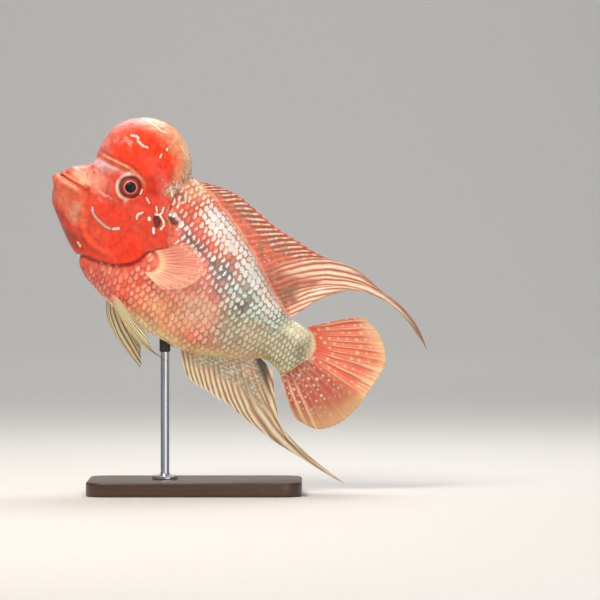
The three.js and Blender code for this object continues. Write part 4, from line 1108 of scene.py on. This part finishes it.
def paintAnal(rays, u, v, along, apart, middle):
    # broad tan rays with thin brown lines between, a pearled sheath along the base, a dark spot behind
    wander = 0.09 * noise(middle, 5, 51)
    fine = noise(middle, 1.6, 54)
    ray = rayWave(v + 0.006 * noise(middle, 7, 55), rays)
    sheath = ramp(u + wander, 0.5, 0.22) * ramp(v, 0.08, 0.26)
    pearls = np.maximum(dots(along, v, apart, rays, 3.0, 1.25, 52, 0.85),
                        dots(along + 1.5, v + 0.5 / rays, apart, rays, 3.0, 1.05, 56, 0.7))
    return painted("#8c7258", [
        ("#ccb48e", ramp(ray + 0.1 * fine, 0.08, 0.36)),
        ("#ecdcb8", ramp(ray + 0.15 * fine, 0.5, 0.9) * ramp(u, 0.2, 0.5)),
        ("#d8a07c", 0.5 * bump(rayWave(v, rays, 0.36) - 1, 0.12) * ramp(u, 0.9, 0.5)),
        ("#a08c70", 0.75 * sheath),
        ("#d49a74", 0.7 * ramp(u + wander, 0.2, 0.05)),
        ("#e2e4cc", sheath * pearls * (0.7 + 0.3 * fine)),
        ("#4a3c2e", 0.95 * ramp(v, 0.84, 0.93) * ramp(u + 0.5 * wander, 0.75, 0.4)),
    ]), np.ones(u.shape)


def paintCaudal(rays, u, v, along, apart, middle):
    # orange above the fold, brick red below it, partly painted shade on the half turned from the light, dark
    # lines between rays, pale dots, pale streaked tips
    wander = 0.07 * noise(middle, 6, 61)
    fine = noise(middle, 1.6, 66)
    ray = rayWave(v + 0.004 * noise(middle, 8, 65), rays)
    below = ramp(v + 0.01 * fine, 0.53, 0.57)
    # below the fold: brick red, partly painted shade
    lowerHalfShaded = painted("#c2624a", [
        ("#c89068", ramp(u + wander, 0.5, 0.9)),
        ("#9c4a3a", 0.4 * ramp(ray, 0.25, 0.03) * ramp(u, 0.9, 0.6)),
        ("#d8845e", 0.5 * ramp(ray, 0.6, 0.95) * ramp(u, 0.7, 0.3)),
        ("#f0c29c", 0.9 * ramp(ray + 0.2 * fine, 0.45, 0.85) * ramp(v, 0.8, 0.9) * ramp(u, 0.15, 0.4)),
    ])
    fineStreak = rayWave(v + 0.002 * fine, 4 * rays)
    tips = ramp(u + wander + 0.1 * fineStreak, 0.78, 1.04) * (0.35 + 0.6 * fineStreak)
    upperDots = dots(along, v, apart, rays, 6.4, 1.05, 62, 0.62) * ramp(u, 0.12, 0.18) * ramp(u, 0.92, 0.82)
    lowerDots = dots(along + 2, v + 0.5 / rays, apart, rays, 4.6, 0.9, 68, 0.6) * ramp(u, 0.12, 0.2)
    squiggle = bump(noise(middle, 2.4, 64), 0.18) * bump((u - 0.17) / 0.06, 1) * ramp(v, 0.4, 0.55)
    return painted("#e6623e", [
        ("#f88a60", 0.9 * ramp(ray + 0.2 * fine, 0.45, 0.95) * ramp(u, 0.15, 0.4)),
        ("#fad4a8", 0.8 * bump(rayWave(v, rays, 0.4) - 1, 0.15) * ramp(u, 0.15, 0.35)),
        ("#8a4030", 0.75 * ramp(ray, 0.1, 0.0) * ramp(u, 0.14, 0.3) * (1 - 0.4 * ramp(u, 0.7, 1))),
        (lowerHalfShaded, below),
        ("#e0704c", 0.5 * bump((v - 0.54) / 0.012, 1) * ramp(u, 0.15, 0.3) * ramp(u, 1, 0.85)),
        ("#f6d4a2", tips * (1 - 0.55 * below)),
        ("#fbd6b4", 0.85 * upperDots * (1 - 0.75 * below)),
        ("#e6e4d0", 0.85 * lowerDots * below * ramp(u, 0.85, 0.5)),
        ("#ece0cc", 0.6 * squiggle),
        ("#f0dcb4", ramp(u, 0.15, 0.12) * (1 - below)),
    ]), np.ones(u.shape)


def paintPectoral(rays, u, v, along, apart, middle):
    # clear salmon with fine dark rays that fade outwards, a cream band at the root and along the lowest rays
    fine = noise(middle, 1.8, 71)
    ray = rayWave(v + 0.004 * fine, rays)
    clearness = ramp(u, 0.25, 0.5) * (0.35 + 0.45 * ramp(u + 0.06 * fine, 0.55, 1))
    cover = 1 - clearness * (1 - 0.45 * ramp(ray, 0.5, 0.9))
    return painted("#f8a88c", [
        ("#cc6c54", 0.8 * ramp(ray, 0.62, 0.96) * ramp(u, 0.2, 0.28) * ramp(u, 0.8, 0.45)),
        ("#f8cfa4", 0.95 * bump((u - 0.2) / 0.06, 1)),
        ("#f8cfa4", 0.9 * ramp(v, 0.8, 0.92) * ramp(u, 0.9, 0.5)),
        ("#fab898", 0.7 * ramp(u, 0.7, 0.95)),
        ("#ee4630", ramp(u, 0.16, 0.1)),
    ]), cover


def paintPelvic(rays, u, v, along, apart, middle):
    # pale yellow rays with dark lines between them, redder at the root
    ray = rayWave(v + 0.006 * noise(middle, 6, 81), 2 * rays)
    cover = 1 - 0.35 * ramp(u, 0.3, 0.7) * ramp(ray, 0.7, 0.2) * ramp(v, 0.2, 0.5)
    return painted("#80704e", [("#e4d6ac", ramp(ray, 0.12, 0.5)), ("#d98a68", ramp(u, 0.2, 0.06))]), cover


# membrane and ray are half thicknesses, sunk is how far a root lies in the body, and the notches are how
# far the margin is drawn in between spiny and soft rays, as a share of their length
thinSheet = {
    "membrane": 0.16, "ray": 0.4, "billow": 0.45, "softNotch": 0.012, "rootSwell": 1.5,
    "material": finMaterial,
}
fins = {
    "dorsal_fin": {
        **thinSheet, "rays": 30, "perRay": 9, "rows": 110, "sunk": 5, "curl": 0.36, "softFrom": 0.58,
        "notch": 0.045, "paint": paintDorsal,
        "offset": lambda u, v: u * u * (3 * np.sin(5 * v) - 9 * ramp(v, 0.6, 0.8)),
        "keys": [
            (0, (84, 57.6), (91, 60.4), 25, 15),
            (0.08, (91, 56.3), (102, 63.6), 40, 25),
            (0.2, (103, 52.9), (118, 64.8), 45, 30),
            (0.37, (123.1, 45.7), (146, 61), 45, 28),
            (0.5, (140.6, 37.9), (167.3, 61.1), 48, 30),
            (0.6, (153, 31.7), (186, 61.4), 55, 20),
            (0.68, (161, 27), (212, 66.4), 60, 5),
            (0.73, (166, 24), (236, 63), 62, -8),
            (0.76, (169, 22.2), (259, 59.2), 62, -16, 0.38),
            (0.79, (171.6, 20.6), (283.1, 46.1), 60, -42, 0.42),
            (0.82, (174.4, 19.2), (256, 57.4), 60, -12, 0.38),
            (0.85, (177, 17.8), (236, 58.4), 60, -2),
            (0.89, (180.5, 16.2), (217, 52.4), 58, 20),
            (0.95, (185.5, 14.2), (201.5, 35.6), 56, 42),
            (1, (190, 12.6), (193.6, 19), 60, 55),
        ],
    },
    "anal_fin": {
        **thinSheet, "rays": 17, "perRay": 12, "rows": 110, "sunk": 5, "curl": 0.34, "softFrom": 0.46,
        "notch": 0.13, "paint": paintAnal,
        "offset": lambda u, v: u * u * (-2 * np.sin(4 * v) - 5 * ramp(v, 0.5, 0.76)),
        "keys": [
            (0, (138.4, -48.4), (151.5, -61), -50, -38),
            (0.1, (143.5, -46.7), (160.8, -62.8), -48, -36),
            (0.22, (150, -44), (169.5, -62.6), -50, -34),
            (0.34, (157, -41), (180, -63.2), -52, -32),
            (0.45, (163, -38.3), (191, -62.6), -52, -26),
            (0.56, (169, -35.4), (208, -64.4), -52, -14),
            (0.67, (175.5, -32.3), (234, -66.2), -52, -5),
            (0.75, (180, -30), (286.4, -64.4), -48, 3),
            (0.83, (184, -27.4), (237, -59.9), -42, -18),
            (0.92, (187.4, -24.6), (217.5, -46), -34, -42),
            (1, (190, -22.6), (201, -26), -12, -25),
        ],
    },
    "caudal_fin": {
        **thinSheet, "rays": 16, "perRay": 14, "rows": 90, "sunk": 6, "curl": 0.3, "rootSwell": 1.4,
        "softFrom": -1, "notch": 0, "softNotch": 0.01, "paint": paintCaudal,
        "offset": lambda u, v: (u * u * (12 * np.maximum(0, v - 0.5) + 7 * np.maximum(0, 0.5 - v))
                                - 1.5 * u * bump(v - 0.5, 0.1)),
        "keys": [
            (0, (203, 12.4), (235, 41), 42, 24),
            (0.12, (208, 10.6), (248, 37.9), 36, 34),
            (0.25, (212, 7), (258.5, 30.5), 25, 26),
            (0.38, (214.6, 2.6), (265, 19.5), 14, 18),
            (0.5, (215.4, -2.3), (265.4, -1.6), 1, 1),
            (0.62, (215, -8), (264.6, -16.5), -9, -10),
            (0.75, (213, -13.6), (259.5, -32.5), -20, -22),
            (0.88, (209.6, -18.6), (249, -43.3), -32, -30),
            (1, (204, -22.4), (234, -45.3), -44, -20),
        ],
    },
}
# the paired fins: flare is how far they stand out, and dive how far the root goes into the body
pairedSheet = {**thinSheet, "sunk": 3, "rootSwell": 1.2, "softFrom": -1, "notch": 0, "softNotch": 0.02,
               "material": clearFinMaterial}
pectoral = {
    **pairedSheet, "rays": 13, "perRay": 12, "rows": 60, "curl": 0.3, "ray": 0.26, "membrane": 0.13,
    "paint": paintPectoral, "from": (88, -8), "flare": 12, "clear": 1, "dive": 6, "diveTo": 0.13,
    "keys": [
        (0, (85, 0.4), (101.6, 18.4), 40, 50),
        (0.2, (88.4, -1.8), (111.6, 17.4), 32, 40),
        (0.4, (90.6, -5), (120.8, 11.8), 22, 30),
        (0.6, (91.4, -8.6), (123.4, 3.6), 12, 18),
        (0.8, (90.6, -12.2), (117.8, -8.8), 0, 4),
        (1, (87.4, -15), (105.4, -18.4), -12, -10),
    ],
}
pelvicLeft = {
    **pairedSheet, "rays": 6, "perRay": 18, "rows": 80, "curl": 0.33, "ray": 0.4, "membrane": 0.2,
    "paint": paintPelvic, "from": (79, -41), "flare": 15, "clear": 0, "dive": 3, "diveTo": 0.08,
    "keys": [
        (0, (75.6, -40.6), (119, -59.2), -42, -4),
        (0.2, (76.8, -40.4), (136.6, -58.2), -40, 6),
        (0.4, (78, -40.2), (122.4, -57.6), -36, -10),
        (0.7, (80, -40.2), (114, -51), -26, -22),
        (1, (82, -40.4), (100, -46), -16, -20),
    ],
}
pelvicRight = {
    **pelvicLeft, "flare": 17,
    "keys": [
        (0, (74, -42), (111, -71.8), -88, -18, 0.37),
        (0.2, (75.8, -41.8), (121, -74.8), -76, -18),
        (0.4, (77.8, -41.6), (117, -67.6), -46, -30),
        (0.7, (79.8, -41.4), (110, -58.6), -34, -28),
        (1, (82, -41.4), (98, -50.4), -24, -26),
    ],
}


def paired(fin, side):
    # a paired fin stands out by flare, and its root dives into the body over the first share of its length
    root = halfWidthAt(*fin["from"]) + fin["clear"]

    def offset(u, v):
        return side * (root + fin["flare"] * (1.3 * u - 0.3 * u * u) - fin["dive"] * bump(u, fin["diveTo"]))

    return {**fin, "offset": offset}


for name, side in {"left": -1, "right": 1}.items():
    fins["pectoral_fin_" + name] = paired(pectoral, side)
fins["pelvic_fin_left"] = paired(pelvicLeft, -1)
fins["pelvic_fin_right"] = paired(pelvicRight, 1)
for name, fin in fins.items():
    piece = makeFin(name + "_rayed", fin)
    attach(piece, "root")
    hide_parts(name)
    print(name, len(piece.data.polygons))


# The stand: a stained wooden slab and a brushed steel rod
stand = {
    "length": 150, "depth": 92, "height": 10, "corner": 14, "edge": 1.5, "cornerSteps": 16, "edgeSteps": 6,
    "rodS": 126, "rodH": -49, "rodRadius": 3, "intoBelly": 3,
    "collarRadius": 9, "collarHeight": 2.5, "shoulder": 2, "sleeve": 7, "sleeveRadius": 3.8,
    "clear": 0.02,  # how far the rod stays clear of the slab's top
    "turnSteps": 64, "sharp": 30,  # steps of a turned piece, and the least angle of a sharp edge in degrees
}
woodGrain, steelScratch, rubberGrain = 1.6, 0.25, 0.4  # in millimetres
# Stained beech under satin varnish: long soft grain lines along the slab
woodMaterial, node = newMaterial("stainedBeech", {
    "Roughness": 0.4, "Coat Weight": 0.25, "Coat Roughness": 0.25,
})
stretched = node("Mapping", {"Scale": (0.06, 1.0, 1.0)}, {"Vector": node("TexCoord")["Object"]})["Vector"]
grain = node("TexNoise", {"Scale": 1000 / woodGrain, "Detail": 5, "Roughness": 0.6},
             {"Vector": stretched})["Fac"]
tones = node("Mix", twoColours("#2a1a10", "#5a3a24"), {"Factor": grain})[2]
ripple = node("Bump", {"Strength": 0.2, "Distance": 0.1 * mm}, {"Height": grain})["Normal"]
feedShader(woodMaterial, {"Base Color": tones, "Normal": ripple})
# Brushed stainless steel: fine scratches along the rod spread the highlight
steelMaterial, node = newMaterial("brushedSteel", {
    "Metallic": 1.0, "Roughness": 0.3, "Base Color": rgba("#c8cacd"),
})
stretched = node("Mapping", {"Scale": (1.0, 1.0, 0.03)}, {"Vector": node("TexCoord")["Object"]})["Vector"]
scratches = node("TexNoise", {"Scale": 1000 / steelScratch, "Detail": 2}, {"Vector": stretched})["Fac"]
ripple = node("Bump", {"Strength": 0.15, "Distance": 0.02 * mm}, {"Height": scratches})["Normal"]
feedShader(steelMaterial, {"Normal": ripple})
# Black rubber sleeve: dull and dark
rubberMaterial, node = newMaterial("blackRubber", {"Roughness": 0.7})
grain = node("TexNoise", {"Scale": 1000 / rubberGrain}, {"Vector": node("TexCoord")["Object"]})["Fac"]
tones = node("Mix", twoColours("#161616", "#242424"), {"Factor": grain})[2]
feedShader(rubberMaterial, {"Base Color": tones})


def makeSlab():
    # a rounded rectangle carried up a profile whose two edges are quarter circles, capped above and below
    quarter = np.linspace(0, math.pi / 2, stand["cornerSteps"] + 1)
    edge = np.linspace(0, math.pi / 2, stand["edgeSteps"] + 1)
    inset = stand["edge"] * (1 - np.concatenate([np.sin(edge), np.cos(edge)]))
    height = np.concatenate([stand["edge"] * (1 - np.cos(edge)),
                             stand["height"] - stand["edge"] * (1 - np.sin(edge))])
    middle = np.array([stand["length"], stand["depth"]]) / 2 - stand["corner"]
    centres = np.repeat(np.array([(1, 1), (-1, 1), (-1, -1), (1, -1)]) * middle, len(quarter), 0)
    angle = np.concatenate([quarter + n * math.pi / 2 for n in range(4)])
    around = len(angle)
    rings = [np.column_stack([centres + r * np.stack([np.cos(angle), np.sin(angle)], -1), np.full(around, z)])
             for r, z in zip(stand["corner"] - inset, height)]
    wall = tube(len(rings), around)[0][:, ::-1]
    caps = np.stack([np.arange(around)[::-1], (len(rings) - 1) * around + np.arange(around)])
    return meshPiece("stand_slab", np.concatenate(rings) * mm, [wall, caps], woodMaterial,
                     sharp=stand["sharp"])


def turned(name, profile, x, y, material):
    # a profile of radius and height turned about an upright line, from axis to axis
    around = stand["turnSteps"]
    angle = np.arange(around) * 2 * math.pi / around
    inner = np.array(profile[1:-1])
    ring = np.stack([inner[:, :1] * np.cos(angle) + x, inner[:, :1] * np.sin(angle) + y,
                     np.repeat(inner[:, 1:], around, 1)], -1)
    points = np.vstack([ring.reshape(-1, 3), (x, y, profile[0][1]), (x, y, profile[-1][1])])
    faces = [block[:, ::-1] for block in tube(len(inner), around)]
    return meshPiece(name, points * mm, faces, material, sharp=stand["sharp"])


slab = makeSlab()
footX, footY, footZ = place(np.array([stand["rodS"], 0, stand["rodH"]])) / mm
low = stand["height"] + stand["clear"]
collarTop = low + stand["collarHeight"]
top = footZ + stand["intoBelly"]
rod, collar, sleeve = stand["rodRadius"], stand["collarRadius"], stand["sleeveRadius"]
rodPiece = turned("stand_rod_turned", [
    (0, low), (collar - 0.4, low), (collar, low + 0.4), (collar, collarTop - 0.5),
    (collar - 0.5, collarTop), (rod + 0.6, collarTop + 0.7), (rod, collarTop + stand["shoulder"]),
    (rod, top - 1), (rod - 0.4, top), (0, top),
], footX, footY, steelMaterial)
sleeveLow = footZ - stand["sleeve"]
sleevePiece = turned("stand_sleeve", [
    (0, sleeveLow), (sleeve - 0.5, sleeveLow), (sleeve, sleeveLow + 0.5), (sleeve, top - 0.5),
    (sleeve - 0.5, top + 0.2), (0, top + 0.2),
], footX, footY, rubberMaterial)
for piece, slot in ((slab, "stand_wood"), (rodPiece, "stand_steel"), (sleevePiece, "stand_steel")):
    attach(piece, "root")
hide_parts("stand_base")
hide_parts("stand_rod")
print("stand")


# The stage: a pale paper sweep, wide enough to walk round, with soft lamps and an even sky
stage = {"near": -5200, "bend": 3000, "radius": 1500, "high": 4200, "half": 5200}
fibresPerMetre = 300  # the paper's cloudiness shows at about 3 mm
# Matt backdrop paper: even and pale
paperMaterial, node = newMaterial("backdropPaper", {"Roughness": 0.9})
fibres = node("TexNoise", {"Scale": fibresPerMetre}, {"Vector": node("TexCoord")["Object"]})["Fac"]
tones = node("Mix", twoColours("#dcd9d4", "#e2dfda"), {"Factor": fibres})[2]
feedShader(paperMaterial, {"Base Color": tones})
sweep = np.linspace(0, math.pi / 2, 24)
profile = np.vstack([
    (stage["near"], 0),
    np.stack([stage["bend"] + stage["radius"] * np.sin(sweep), stage["radius"] * (1 - np.cos(sweep))], -1),
    (stage["bend"] + stage["radius"], stage["high"]),
])
sides = np.array([-stage["half"], stage["half"]])
floorPoints = np.stack([np.broadcast_to(sides, (len(profile), 2)), np.repeat(profile[:, :1], 2, 1),
                        np.repeat(profile[:, 1:], 2, 1)], -1).reshape(-1, 3)
rung = 2 * np.arange(len(profile) - 1)
floorFaces = np.stack([rung, rung + 1, rung + 3, rung + 2], -1)
floorPiece = meshPiece("paper_sweep", floorPoints * mm, [floorFaces], paperMaterial)


def lamp(name, spot, aim, size, power, hexColour):
    # a square lamp turned to shine from spot towards aim
    data = bpy.data.lights.new(name, "AREA")
    data.size = size * mm
    data.energy = power
    data.color = linear(hexColour)
    made = bpy.data.objects.new(name, data)
    made.location = np.array(spot) * mm
    x, y, z = (np.array(aim) - np.array(spot)) * mm
    made.rotation_euler = (math.acos(-z / math.hypot(x, y, z)), 0, math.atan2(x, -y) + math.pi)
    scene.collection.objects.link(made)


lamp("key", (-420, -700, 1050), (30, 0, 140), 520, 12, "#fff4e8")
lamp("fill", (600, -1200, 260), (40, 0, 110), 900, 5.4, "#f4f6ff")
lamp("top", (150, 450, 1000), (30, 0, 150), 600, 7, "#ffffff")
lamp("backdrop", (0, 2500, 2200), (0, 2800, 0), 2000, 24, "#ffffff")
world = bpy.data.worlds.new("evenSky")
world.use_nodes = True
world.node_tree.nodes["Background"].inputs["Color"].default_value = rgba("#e4e8ee")
world.node_tree.nodes["Background"].inputs["Strength"].default_value = 0.3
scene.world = world
scene.view_settings.view_transform = "Standard"
print("stage")
